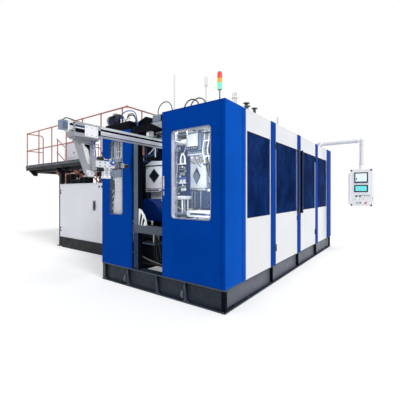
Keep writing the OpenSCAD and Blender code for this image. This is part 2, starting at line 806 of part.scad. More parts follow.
// the screw: core, ring flights, and the shank that ends behind the gearbox
module screw() color(steel) {
  cx(barrel_end - 620, clamp_x - head_r - 160, 0, screw_z, 40);
  for (x = [barrel_end + 40:150:clamp_x - head_r - 300]) cx(x, x + 16, 0, screw_z, 55);
  cx(barrel_end - 640, barrel_end - 560, 0, screw_z, 70);
}

// gearbox behind the barrel, with the belt housing towards the motor
module extruder_drive() color(blue) {
  gearbox();
  drive_motor();
}
module gearbox() difference() {
  union() {
    bb(barrel_end - 540, barrel_end - 60, -230, 230, screw_z - 260, screw_z + 260);
    cx(barrel_end - 61, barrel_end, 0, screw_z, 150);
  }
  cx(barrel_end - 541, barrel_end + e, 0, screw_z, 40 + run);
}

// drive motor beside the gearbox, with its feet and terminal box
module drive_motor() {
  x0 = barrel_end - 500;
  cy(x0 + 180, 232, motor_end - 40, screw_z - 20, 165);
  cy(x0 + 180, 230, 250, screw_z - 20, 200);
  cy(x0 + 180, motor_end - 41, motor_end, screw_z - 20, 150);
  bb(x0 + 100, x0 + 260, 420, 640, screw_z + 120, screw_z + 220);
  bb(x0 + 40, x0 + 320, 330, 760, screw_z - 200, screw_z - 150);
}

// hopper on the feed throat
module feed_hopper() color(steel) difference() {
  x = barrel_end + 220;
  union() {
    cz(x, 0, screw_z + 140, screw_z + 165, 150);
    translate([x, 0, screw_z + 164]) cylinder(r1 = 70, r2 = hopper_r, h = 300);
    cz(x, 0, screw_z + 463, screw_z + hopper_rise - 30, hopper_r);
    cz(x, 0, screw_z + hopper_rise - 31, screw_z + hopper_rise, hopper_r + 15);
  }
  cz(x, 0, screw_z + 139, screw_z + 200, 50);
  translate([x, 0, screw_z + 180]) cylinder(r1 = 50, r2 = hopper_r - 12, h = 291);
  cz(x, 0, screw_z + 470, screw_z + hopper_rise + e, hopper_r - 12);
}

// the frame that carries gearbox and motor from the floor
module extruder_stand() color(dark) {
  zt = screw_z - 260;
  x0 = barrel_end - 620;
  for (x = [x0, barrel_end - 60]) for (y = [-300, 200]) bb(x, x + 100, y, y + 100, 0, zt - 99);
  for (y = [-300, 200]) bb(x0, barrel_end + 40, y, y + 100, zt - 100, zt);
  for (x = [x0, barrel_end - 60]) bb(x, x + 100, -201, 201, zt - 100, zt);
  for (y = [330, 710]) bb(x0 + 140, x0 + 460, y, y + 60, zt - 100, screw_z - 200);
  bb(x0 + 140, x0 + 460, 299, 720, zt - 100, zt - 40);
  for (y = [-300, 200]) bb(x0, -hw, y, y + 100, 0, 60);
}

// deck plate with the slot for the extruder and the stair well
module deck() color(grey) difference() {
  bb(deck_x0, deck_x1, -deck_half, deck_half, deck_z - deck_t, deck_z);
  bb(barrel_end - 900, deck_x1 + e, -slot_half, slot_half, deck_z - deck_t - e, deck_z + e);
  bb(barrel_end - 600, barrel_end + 60, slot_half - e, motor_end + 80, deck_z - deck_t - e, deck_z + e);
  bb(stair_x0, stair_x0 + well_l, stair_y0, stair_y0 + stair_w, deck_z - deck_t - e, deck_z + e);
}

// legs, long beams and the black tapered brackets under the deck's edge
module platform_supports() color(black) {
  zt = deck_z - deck_t;
  for (x = [mid_leg, last_leg]) for (s = [-1, 1]) {
    bb(x - 60, x + 60, s*leg_y - 60, s*leg_y + 60, 0, zt - 160);
    bb(x - 110, x + 110, s*leg_y - 110, s*leg_y + 110, 0, 16);
  }
  for (x = [deck_x0 + 160, mid_leg, last_leg]) for (s = [-1, 1]) {
    yz(x - 20, x + 20) polygon([[s*(leg_y - 60), zt], [s*(deck_half - 10), zt],
      [s*(deck_half - 10), zt - 60], [s*(leg_y + 55), zt - 260], [s*(leg_y - 60), zt - 260]]);
  }
  for (s = [-1, 1]) {
    bb(deck_x0 + 20, -hw, s*leg_y - 50, s*leg_y + 50, zt - 160, zt);
    bb(deck_x0 + 10, deck_x1 - 10, (s > 0) ? deck_half - 50 : -deck_half + 10,
      (s > 0) ? deck_half - 10 : -deck_half + 50, zt - 90, zt);
  }
  for (x = [deck_x0 + 160, last_leg]) bb(x - 50, x + 50, -leg_y + 49, leg_y - 49, zt - 160, zt);
}

// railing of round pipe: posts on feet, top rail, middle rail, corner fittings, bent returns
module post(x, y) {
  cz(x, y, deck_z, deck_z + rail_rise, pipe_r - 1);
  cz(x, y, deck_z, deck_z + 12, pipe_r + 28);
}
module corner(x, y) {
  for (z = [rail_rise, rail_rise - 580]) cz(x, y, deck_z + z - 26, deck_z + z + 22, pipe_r + 4);
}
module rail_run(y) {
  x0 = deck_x0 + 50;
  x1 = deck_x1 - 20;
  p = (x1 - 170 - x0)/6;
  for (i = [0:6]) post(x0 + i*p, y);
  for (z = [rail_rise, rail_rise - 580]) cx(x0, x1, y, deck_z + z, pipe_r);
  corner(x0, y);
  corner(x1, y);
}
module rail_end(x, y0, y1) {
  s = (y1 > y0) ? 1 : -1;
  z = deck_z + rail_rise;
  cy(x, min(y0, y1 - s*91), max(y0, y1 - s*91), z, pipe_r);
  cy(x, min(y0, y1 - s), max(y0, y1 - s), z - 580, pipe_r - 2);
  translate([x, y1 - s*91, z - 90]) rotate([90, 0, 90]) rotate([0, 0, (s > 0) ? 0 : 90])
    rotate_extrude(angle = 90) translate([90, 0]) circle(r = pipe_r);
  cz(x, y1 - s, deck_z, z - 90 + eps, pipe_r);
  cz(x, y1 - s, deck_z, deck_z + 12, pipe_r + 28);
}
module railing() color(salmon) {
  y = deck_half - 30;
  xl = deck_x0 + 50;
  for (s = [-1, 1]) {
    rail_run(s*y);
    rail_end(xl, s*y, s*(y - 520));
    rail_end(deck_x1 - 20, s*y, s*(slot_half + 90));
    post(deck_x1 - 20, s*(y - 450));
  }
  for (yc = [200 - slot_half, slot_half + 300]) {
    post(xl, yc);
    corner(xl, yc);
  }
  for (z = [rail_rise, rail_rise - 580]) cy(xl, 200 - slot_half, slot_half + 300, deck_z + z, pipe_r);
}

// stair from the well in the deck down towards the cell, with its handrails
module stair() color(salmon) {
  rise = deck_z/(steps + 1);
  go = rise/0.64;
  for (i = [1:steps]) bb(stair_x0 + (i - 1)*go + 10, stair_x0 + i*go + 40, stair_y0 + 39,
    stair_y0 + stair_w - 39, deck_z - i*rise - 40, deck_z - i*rise);
  xb = stair_x0 + (steps + 1)*go;
  for (y = [stair_y0, stair_y0 + stair_w - 40]) {
    xz(y, y + 40) polygon([[stair_x0 + 2, deck_z - 10], [stair_x0 + 120, deck_z - 10],
      [xb + 90, 0], [xb - 190, 0], [stair_x0 + 2, deck_z - 190]]);
    hand = y + 20;
    a = atan2(rise, go);
    for (h = [hand_rise - 450, hand_rise]) translate([stair_x0 + 60, hand, deck_z + h]) rotate([0, 90 + a, 0])
      cylinder(r = pipe_r, h = (xb - stair_x0 - 180)/cos(a));
    for (t = [0.012, 0.35, 0.66, 0.98]) {
      x = stair_x0 + 60 + t*(xb - stair_x0 - 180);
      z = deck_z - (x - stair_x0)*0.64;
      cz(x, hand, z - 40, z + hand_rise + 35, pipe_r);
    }
  }
}

// control cabinet on its plinth, hollow behind the door
module cabinet() color(white) difference() {
  x1 = cab_x0 + cab_w;
  union() {
    bb(cab_x0, x1, cab_y, cab_y + cab_d, base_h, cab_top);
    bb(cab_x0 + 20, x1 - 20, cab_y + 30, cab_y + cab_d - 30, 0, base_h + e);
    bb(x1 - e, -hw, cab_y + 260, cab_y + 400, 1500, 1600);
  }
  bb(cab_x0 + 60, cab_x0 + 70 + cab_door_w, cab_y - e, cab_y + 30.4, base_h + 20, cab_top - 20);
  bb(cab_x0 + 80, cab_x0 + 50 + cab_door_w, cab_y, cab_y + cab_d - 30, base_h + 60, cab_top - 60);
}
module cabinet_door() color(white) difference() {
  union() {
    for (z = [cab_hinge_low, cab_hinge_high]) at_cab(z) hinge_block(knuckle_r);
    cabinet_leaf();
  }
  cy(cab_x0 + cab_door_w - 60, cab_y - e, cab_y + 31, 1270, 16 + run);
}
module cabinet_leaf() difference() {
  bb(cab_x0 + 65, cab_x0 + 65 + cab_door_w, cab_y, cab_y + 30, base_h + 25, cab_top - 25);
  cy(cab_x0 + cab_door_w - 60, cab_y - e, cab_y + 31, 1270, 16 + run);
}
module at_cab(z) {
  translate([cab_x0 + 62.5, cab_y - knuckle_r, z]) mirror([0, 1, 0]) children();
}
module cabinet_handle() color(black) {
  x = cab_x0 + cab_door_w - 60;
  cy(x, cab_y - 20, cab_y + 36, 1270, 16);
  cy(x, cab_y - 20, cab_y - 0.4, 1270, 24);
  bb(x - 16, x + 16, cab_y - 42, cab_y - 19, 1160, 1380);
  bb(x - 12, x + 40, cab_y + 36 - e, cab_y + 42, 1256, 1284);
}

// material bin on the deck's front strip, with a sloped lid
module feed_bin() color(white) {
  xz(bin_y0, bin_y1) polygon([[bin_x0, deck_z + 60], [bin_x1, deck_z + 60], [bin_x1, deck_z + 420],
    [bin_x1 - 140, deck_z + 640], [bin_x0 + 100, deck_z + 640], [bin_x0, deck_z + 520]]);
  for (x = [bin_x0 + 30, bin_x1 - 90]) for (y = [bin_y0 + 10, bin_y1 - 50])
    bb(x, x + 60, y, y + 40, deck_z, deck_z + 61);
}

// the robot's beam: profile with guide ribs and a slot, brackets and the end motor
module robot_beam() color(steel) difference() {
  union() {
    bb(beam_x - beam_w/2, beam_x + beam_w/2, beam_y0, beam_y1, beam_z, beam_z + beam_h);
    for (s = [-1, 1]) bb(beam_x + s*(beam_w/2 + 5) - 6, beam_x + s*(beam_w/2 + 5) + 6,
      beam_y0 + 30, beam_y1 - 30, beam_z + 40, beam_z + 62);
    bb(beam_x - 42, beam_x + 42, beam_y0 - 76, beam_y0 + e, beam_z + 12, beam_z + beam_h - 6);
    for (y = [-hl + panel_t, beam_y1 - 110])
      bb(beam_x - 30, beam_x + 30, y, y + 100, beam_z + beam_h - e, roof_z);
  }
  for (s = [-1, 1]) bb(beam_x + s*beam_w/2 - 8, beam_x + s*beam_w/2 + 8,
    beam_y0 + 30, beam_y1 - 30, beam_z + 84, beam_z + 98);
}

// the carriage that rides on the ribs, with the hanging arm and the gripper's bar
module robot_carriage() color(white) {
  y0 = arm_y - 185;
  y1 = arm_y + 185;
  difference() {
    bb(beam_x - beam_w/2 - 45, beam_x + beam_w/2 + 45, y0, y1, beam_z - 60, beam_z + beam_h - 14);
    bb(beam_x - beam_w/2 - 2, beam_x + beam_w/2 + 2, y0 - e, y1 + e, beam_z - 1, beam_z + beam_h);
    bb(beam_x - beam_w/2 - 11 - run, beam_x + beam_w/2 + 11 + run, y0 - e, y1 + e,
      beam_z + 40 - run, beam_z + 62 + run);
  }
  zt = beam_z - 60;
  bb(beam_x - 70, beam_x + 70, y0 + 20, y1 - 20, zt - 16, zt + e);
  difference() {
    yz(beam_x - 14, beam_x + 14) polygon([[y0 + 40, zt - 15], [y1 - 30, zt - 15],
      [y1 - 20, zt - arm_drop + 60], [y1 - 60, zt - arm_drop], [y1 - 150, zt - arm_drop],
      [y1 - 180, zt - arm_drop + 60]]);
    yz(beam_x - 15, beam_x + 15) polygon([[y0 + 130, zt - 60], [y1 - 110, zt - 60],
      [y1 - 110, zt - arm_drop + 170], [y1 - 140, zt - arm_drop + 170]]);
  }
  for (x = [-30, 22]) bb(beam_x + x, beam_x + x + 8, y0 + 50, y1 - 40, zt - 60, zt - 15);
  bb(beam_x - 70, beam_x + 70, y1 - 110, y1 - 60, zt - arm_drop + 90, zt - arm_drop + 270);
  bb(beam_x - 45, beam_x + 45, y1 - 61, y1 + 270, zt - arm_drop + 140, zt - arm_drop + 220);
  for (z = [zt - arm_drop + 110, zt - arm_drop + 250]) cy(beam_x + 26, y1 - 61, y1 + 90, z, 22);
  translate([beam_x, y1 + 262, zt - arm_drop + 180]) sphere(r = 42);
  cy(beam_x, y1 + 260, y1 + 325, zt - arm_drop + 180, 14);
  cz(beam_x, y1 + 240, zt - arm_drop + 219, zt - arm_drop + 250, 30);
  bb(beam_x - 130, beam_x + 130, y1 + 324, y1 + 364, zt - arm_drop + 145, zt - arm_drop + 215);
}

// the two fingers that slide on the gripper's bar
module finger(s) {
  y = arm_y + 185 + 324;
  z = beam_z - 60 - arm_drop + 180;
  x = beam_x + s*70;
  difference() {
    bb(min(x - 24, x + 24), max(x - 24, x + 24), y - 16, y + 56, z - 50, z + 50);
    bb(x - 25, x + 25, y - run, y + 40 + run, z - 35 - run, z + 35 + run);
  }
  bb(x - 12, x + 12, y + 55, y + 160, z - 20, z + 20);
  bb(x - 12 - ((s > 0) ? 22 : 0), x + 12 + ((s < 0) ? 22 : 0), y + 140, y + 160, z - 30, z + 30);
}
module finger_left() color(black) finger(-1);
module finger_right() color(black) finger(1);

// the pendant's arm: boss on the post, tube, elbow and drop tube with its pin
module hmi_arm() color(white) difference() {
  union() {
    cz(pv[0], pv[1], hmi_z - hmi_tube_r - 9.7, hmi_z + hmi_tube_r + 8, 58);
    cx(pv[0], hx, pv[1], hmi_z, hmi_tube_r);
    translate([hx, pv[1], hmi_z]) sphere(r = hmi_tube_r);
    cz(hx, pv[1], hmi_top + 85.3, hmi_z, hmi_tube_r);
    cz(hx, pv[1], hmi_top + 20, hmi_top + 86, 22);
  }
  cz(pv[0], pv[1], hmi_z - 60, hmi_z + 10.3, 24 + run);
}

// the pendant: box, collar, frame and side handles
module hmi_box() color(white) difference() {
  x0 = hx - hmi_w/2;
  x1 = hx + hmi_w/2;
  y0 = pv[1] - hmi_d/2;
  z0 = hmi_top - hmi_h;
  union() {
    bb(x0, x1, y0, y0 + hmi_d, z0, hmi_top);
    bb(x0 + 40, x1 - 40, y0 + hmi_d - e, y0 + hmi_d + 40, z0 + 40, hmi_top - 60);
    cz(hx, pv[1], hmi_top - e, hmi_top + 85, 56);
    for (s = [-1, 1]) {
      xs = hx + s*(hmi_w/2 + 36);
      cz(xs, y0 + 30, z0 + 40, hmi_top - 100, 13);
      for (z = [z0 + 70, hmi_top - 130]) cx(min(xs, hx + s*(hmi_w/2 - 1)), max(xs, hx + s*(hmi_w/2 - 1)),
        y0 + 30, z, 11);
    }
    bb(x0 + 10, x1 - 10, y0 - 8, y0 + e, z0 + 10, hmi_top - 10);
  }
  cz(hx, pv[1], hmi_top + 15, hmi_top + 86, 22 + run);
  for (b = btn) cy(hx + b[0], y0 - 9, y0 + 41, hmi_top + b[1], 8 + run);
}
btn = [[-88, -854], [-20, -854], [106, -854]];

// bezels of the two screens
module hmi_screens() color(black) {
  y0 = pv[1] - hmi_d/2 - 8;
  bb(hx - 153, hx + 153, y0 - 10, y0, hmi_top - 348, hmi_top - 81);
  bb(hx - 153, hx + 153, y0 - 10, y0, hmi_top - 579, hmi_top - 400);
}

// push button, turning switch and stop button, each on its stem
module stem(i, r, l, g) {
  y0 = pv[1] - hmi_d/2 - 8;
  x = hx + btn[i][0];
  z = hmi_top + btn[i][1];
  cy(x, y0 - g - e, y0 + 30, z, 8);
  cy(x, y0 - g - l, y0 - g, z, r);
}
module start_button() color([0.1, 0.5, 0.2]) stem(0, 14, 9, press + 0.4);
module mode_selector() color(black) {
  stem(1, 15, 8, 0.4);
  bb(hx + btn[1][0] - 4, hx + btn[1][0] + 4, pv[1] - hmi_d/2 - 30, pv[1] - hmi_d/2 - 15,
    hmi_top + btn[1][1] - 14, hmi_top + btn[1][1] + 14);
}
module stop_button() color([0.75, 0.05, 0.05]) {
  stem(2, 12, 10, press + 0.4);
  y0 = pv[1] - hmi_d/2 - 8 - press - 0.4;
  cy(hx + btn[2][0], y0 - 24, y0 - 9, hmi_top + btn[2][1], 22);
}

// signal tower on the front corner of the roof
module stack_light() color(grey) {
  x = hw - 140;
  y = -hl + 90;
  z = roof_top + lamp_rise;
  cz(x, y, roof_top, roof_top + 8, 30);
  cz(x, y, roof_top + 7, z + e, 11);
  cz(x, y, z, z + lamp_h + e, 30);
  cz(x, y, z + lamp_h, z + lamp_h + 8, 26);
}

// gabled fume hood over the exit
module roof_hood() color(black) difference() {
  y0 = -hl + 300;
  y1 = beam_y1 - 60;
  x0 = -hw + 530;
  x1 = clamp_x + 130;
  xm = clamp_x - 255;
  xz(y0, y1) polygon([[x0, roof_top], [x1, roof_top], [x1, roof_top + 110],
    [xm, roof_top + hood_rise], [x0, roof_top + 130]]);
  xz(y0 + 12, y1 - 12) polygon([[x0 + 12, roof_top - e], [x1 - 12, roof_top - e],
    [x1 - 12, roof_top + 103], [xm, roof_top + hood_rise - 14], [x0 + 12, roof_top + 123]]);
}

// fan motor on its black box at the roof's front corner
module roof_motor() color(grey) {
  x = -hw + 40;
  y = -hl + 140;
  bb(x, x + 680, y - 95, y + 140, roof_top, roof_top + 130);
  cx(x + 35, x + 320, y, roof_top + 225, 85);
  cx(x + 319, x + 360, y, roof_top + 225, 40);
  bb(x + 90, x + 260, y - 80, y + 80, roof_top + 129, roof_top + 160);
}

// hoses that loop between fittings on the roof
module loop(x0, x1, y, z0, z1, r) {
  m = (x1 - x0)/2;
  for (x = [x0, x1]) {
    cz(x, y, z0, z1 - m, r);
    cz(x, y, z0, z0 + 40, r + 8);
  }
  translate([x0 + m, y, z1 - m - eps]) rotate([90, 0, 0]) rotate_extrude(angle = 180)
    translate([m, 0]) circle(r = r);
}
module roof_hoses() color(black) {
  loop(-hw + 380, -hw + 680, -hl + 230, roof_top + 130, roof_top + 300, 12);
  loop(-hw + 630, clamp_x - 110, beam_y1 - 30, roof_top, roof_top + hose_rise, 9);
  loop(clamp_x + 185, clamp_x + 525, beam_y1 - 30, roof_top, roof_top + hose_rise - 80, 11);
  loop(clamp_x + 100, clamp_x + 470, st_front - 100, roof_top + 40, roof_top + hose_rise + 35, 11);
}

base_frame();
cell_frame();
shuttle_rails();
front_panels();
side_pillars();
white_panels();
fixed_panes();
exit_casing();
door_hinges();
front_door();
front_door_pane();
front_door_fittings();
side_door_a();
side_door_a_pane();
side_door_a_fittings();
side_door_b();
side_door_b_pane();
side_door_b_fittings();
carriage_front();
platen_front_left();
mould_front_left();
platen_front_right();
mould_front_right();
carriage_rear();
platen_rear_left();
mould_rear_left();
platen_rear_right();
mould_rear_right();
blow_bridges();
blow_unit_front();
blow_unit_rear();
die_head();
barrel();
heater_bands();
screw();
extruder_drive();
feed_hopper();
extruder_stand();
deck();
platform_supports();
railing();
stair();
cabinet();
cabinet_door();
cabinet_handle();
robot_beam();
robot_carriage();
finger_left();
finger_right();
feed_bin();
hmi_arm();
hmi_box();
hmi_screens();
start_button();
mode_selector();
stop_button();
stack_light();
roof_hood();
roof_motor();
roof_hoses();
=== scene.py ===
import random
from itertools import product
from math import cos, pi, radians, sin
import bpy
from mathutils import Matrix, Vector
from mathutils.geometry import tessellate_polygon


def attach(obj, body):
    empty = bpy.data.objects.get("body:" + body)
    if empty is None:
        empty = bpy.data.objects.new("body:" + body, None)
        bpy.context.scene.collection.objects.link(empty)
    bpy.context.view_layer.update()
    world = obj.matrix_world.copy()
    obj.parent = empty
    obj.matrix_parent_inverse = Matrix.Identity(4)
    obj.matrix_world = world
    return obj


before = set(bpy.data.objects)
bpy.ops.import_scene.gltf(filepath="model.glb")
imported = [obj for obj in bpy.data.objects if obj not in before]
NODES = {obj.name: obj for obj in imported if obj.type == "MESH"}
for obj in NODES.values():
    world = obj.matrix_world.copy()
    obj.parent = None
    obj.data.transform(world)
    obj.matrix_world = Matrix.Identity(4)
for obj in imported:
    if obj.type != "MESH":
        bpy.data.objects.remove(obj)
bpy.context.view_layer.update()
RNG = random.Random(7)

# Camera
CAM_POS = (3.307, -6.23, 1.60)
CAM_YAW = 36.5
CAM_LENS = 25.74
CAM_SHIFT = -0.0175


def make_camera():
    data = bpy.data.cameras.new("camera")
    data.lens = CAM_LENS
    data.sensor_width = 36.0
    data.shift_y = CAM_SHIFT
    data.clip_end = 200
    cam = bpy.data.objects.new("camera", data)
    cam.location = CAM_POS
    cam.rotation_euler = (radians(90), 0, radians(CAM_YAW))
    bpy.context.scene.collection.objects.link(cam)
    bpy.context.scene.camera = cam


make_camera()


# Materials
class Graph:
    """Adds and joins the nodes of a material or a world."""

    def __init__(self, nt):
        self.nt = nt

    def node(self, kind, **vals):
        n = self.nt.nodes.new(kind)
        for k, v in vals.items():
            if k in n.inputs:
                n.inputs[k].default_value = v
            else:
                setattr(n, k, v)
        return n

    def link(self, a, b):
        self.nt.links.new(a, b)

    def seen_by(self, rays, other, shown):
        """Shows one shader to the named rays and the other shader to the rest."""
        path = self.node("ShaderNodeLightPath")
        hit = path.outputs[rays[0]]
        for ray in rays[1:]:
            either = self.node("ShaderNodeMath", operation="MAXIMUM")
            self.link(hit, either.inputs[0])
            self.link(path.outputs[ray], either.inputs[1])
            hit = either.outputs[0]
        pick = self.node("ShaderNodeMixShader")
        for i, out in enumerate((hit, other.outputs[0], shown.outputs[0])):
            self.link(out, pick.inputs[i])
        return pick.outputs[0]


class Tree(Graph):
    """A node material in the making."""

    def __init__(self, name):
        self.mat = bpy.data.materials.new(name)
        self.mat.use_nodes = True
        super().__init__(self.mat.node_tree)
        self.bsdf = self.nt.nodes["Principled BSDF"]
        self.co = self.node("ShaderNodeTexCoord").outputs["Object"]

    def set(self, socket, value):
        """A shader socket takes a plain value or another node's output."""
        if hasattr(value, "is_linked"):
            self.link(value, self.bsdf.inputs[socket])
        else:
            self.bsdf.inputs[socket].default_value = value

    def mapped(self, scale):
        m = self.node("ShaderNodeMapping")
        m.inputs["Scale"].default_value = scale
        self.link(self.co, m.inputs["Vector"])
        return m.outputs["Vector"]

    def noise(self, scale, detail=3.0, rough=0.55, vec=None):
        n = self.node("ShaderNodeTexNoise", Scale=scale, Detail=detail, Roughness=rough)
        self.link(vec or self.co, n.inputs["Vector"])
        return n.outputs["Fac"]

    def ramp(self, fac, stops):
        r = self.node("ShaderNodeValToRGB")
        el = r.color_ramp.elements
        while len(el) < len(stops):
            el.new(0.5)
        for e, (p, c) in zip(el, stops):
            e.position = p
            e.color = c if len(c) == 4 else (*c, 1)
        self.link(fac, r.inputs["Fac"])
        return r.outputs["Color"]

    def span(self, fac, lo, hi, a, b):
        m = self.node("ShaderNodeMapRange")
        for k, v in zip(("From Min", "From Max", "To Min", "To Max"), (lo, hi, a, b)):
            m.inputs[k].default_value = v
        self.link(fac, m.inputs["Value"])
        return m.outputs["Result"]

    def mix(self, fac, a, b):
        m = self.node("ShaderNodeMix", data_type="RGBA")
        self.link(fac, m.inputs[0])
        for i, v in ((6, a), (7, b)):
            if hasattr(v, "is_linked"):
                self.link(v, m.inputs[i])
            else:
                m.inputs[i].default_value = v if len(v) == 4 else (*v, 1)
        return m.outputs[2]

    def bump(self, height, strength, distance=0.002):
        b = self.node("ShaderNodeBump", Strength=strength, Distance=distance)
        self.link(height, b.inputs["Height"])
        self.link(b.outputs["Normal"], self.bsdf.inputs["Normal"])


def shade(c, k):
    return tuple(min(1.0, v * k) for v in c[:3])


def paint(name, col, rough=0.35, metal=0.0, var=0.08, scale=1.5, peel=120.0, peel_amt=0.05,
          grime=0.0, spec=0.5, dust=(0.35, 0.33, 0.30)):
    """Coated sheet or beam: slow colour drift, orange peel, uneven gloss and some grime."""
    t = Tree(name)
    drift = t.noise(scale, 4.0)
    c = t.ramp(drift, [(0.3, shade(col, 1 - var)), (0.7, shade(col, 1 + var))])
    if grime:
        spots = t.span(t.noise(scale * 7, 8.0, 0.7), 0.50, 0.78, 0.0, grime)
        c = t.mix(spots, c, dust)
    t.set("Base Color", c)
    t.set("Roughness", t.span(t.noise(scale * 5, 5.0), 0.3, 0.7, rough * 0.8, rough * 1.25))
    t.set("Metallic", metal)
    t.set("Specular IOR Level", spec)
    t.bump(t.noise(peel, 2.0), peel_amt, 0.001)
    return t.mat


def brushed(name, col, rough=0.3, axis=0, metal=1.0, var=0.12, grime=0.0):
    """Metal with fine lines along one axis."""
    t = Tree(name)
    sc = [90.0, 90.0, 90.0]
    sc[axis] = 2.0
    lines = t.noise(6.0, 6.0, 0.7, t.mapped(sc))
    c = t.ramp(lines, [(0.3, shade(col, 1 - var)), (0.7, shade(col, 1 + var))])
    if grime:
        c = t.mix(t.span(t.noise(9.0, 8.0, 0.7), 0.5, 0.8, 0.0, grime), c, (0.05, 0.045, 0.04))
    t.set("Base Color", c)
    t.set("Roughness", t.span(lines, 0.3, 0.7, rough * 0.7, rough * 1.3))
    t.set("Metallic", metal)
    t.bump(lines, 0.08, 0.001)
    return t.mat


def plastic(name, col, rough=0.4, grain=300.0, amt=0.08, glow=None, power=0.0):
    t = Tree(name)
    c = t.ramp(t.noise(12.0, 4.0), [(0.3, shade(col, 0.92)), (0.7, shade(col, 1.08))])
    t.set("Base Color", c)
    t.set("Roughness", rough)
    t.bump(t.noise(grain, 2.0), amt, 0.0005)
    if glow:
        t.set("Emission Color", (*glow, 1))
        t.set("Emission Strength", power)
    return t.mat


def pane(name, col, alpha, rough=0.05, streak=0.06, spec=0.12, painted_reflection=0.0):
    """Clear or tinted polycarbonate, slightly streaked; the last argument sets how strongly painted
    reflections, as lighter and darker patches in its colour, show in it.
    """
    t = Tree(name)
    smear = t.noise(2.2, 6.0, 0.6, t.mapped((1.0, 1.0, 0.35)))
    c = t.ramp(smear, [(0.3, shade(col, 0.8)), (0.7, shade(col, 1.25))])
    # painted reflection: lighter and darker noise patches mixed into the pane colour
    if painted_reflection:
        reflection_noise = t.noise(3.2, 7.0, 0.72, t.mapped((1.0, 1.0, 0.55)))
        c = t.mix(t.span(reflection_noise, 0.50, 0.60, 0.0, painted_reflection), c, shade(col, 2.6))
        c = t.mix(t.span(reflection_noise, 0.40, 0.48, painted_reflection, 0.0), c, shade(col, 0.25))
    t.set("Base Color", c)
    t.set("Roughness", t.span(smear, 0.3, 0.7, rough * 0.6, rough + streak))
    t.set("Alpha", alpha)
    t.set("Specular IOR Level", spec)
    return t.mat


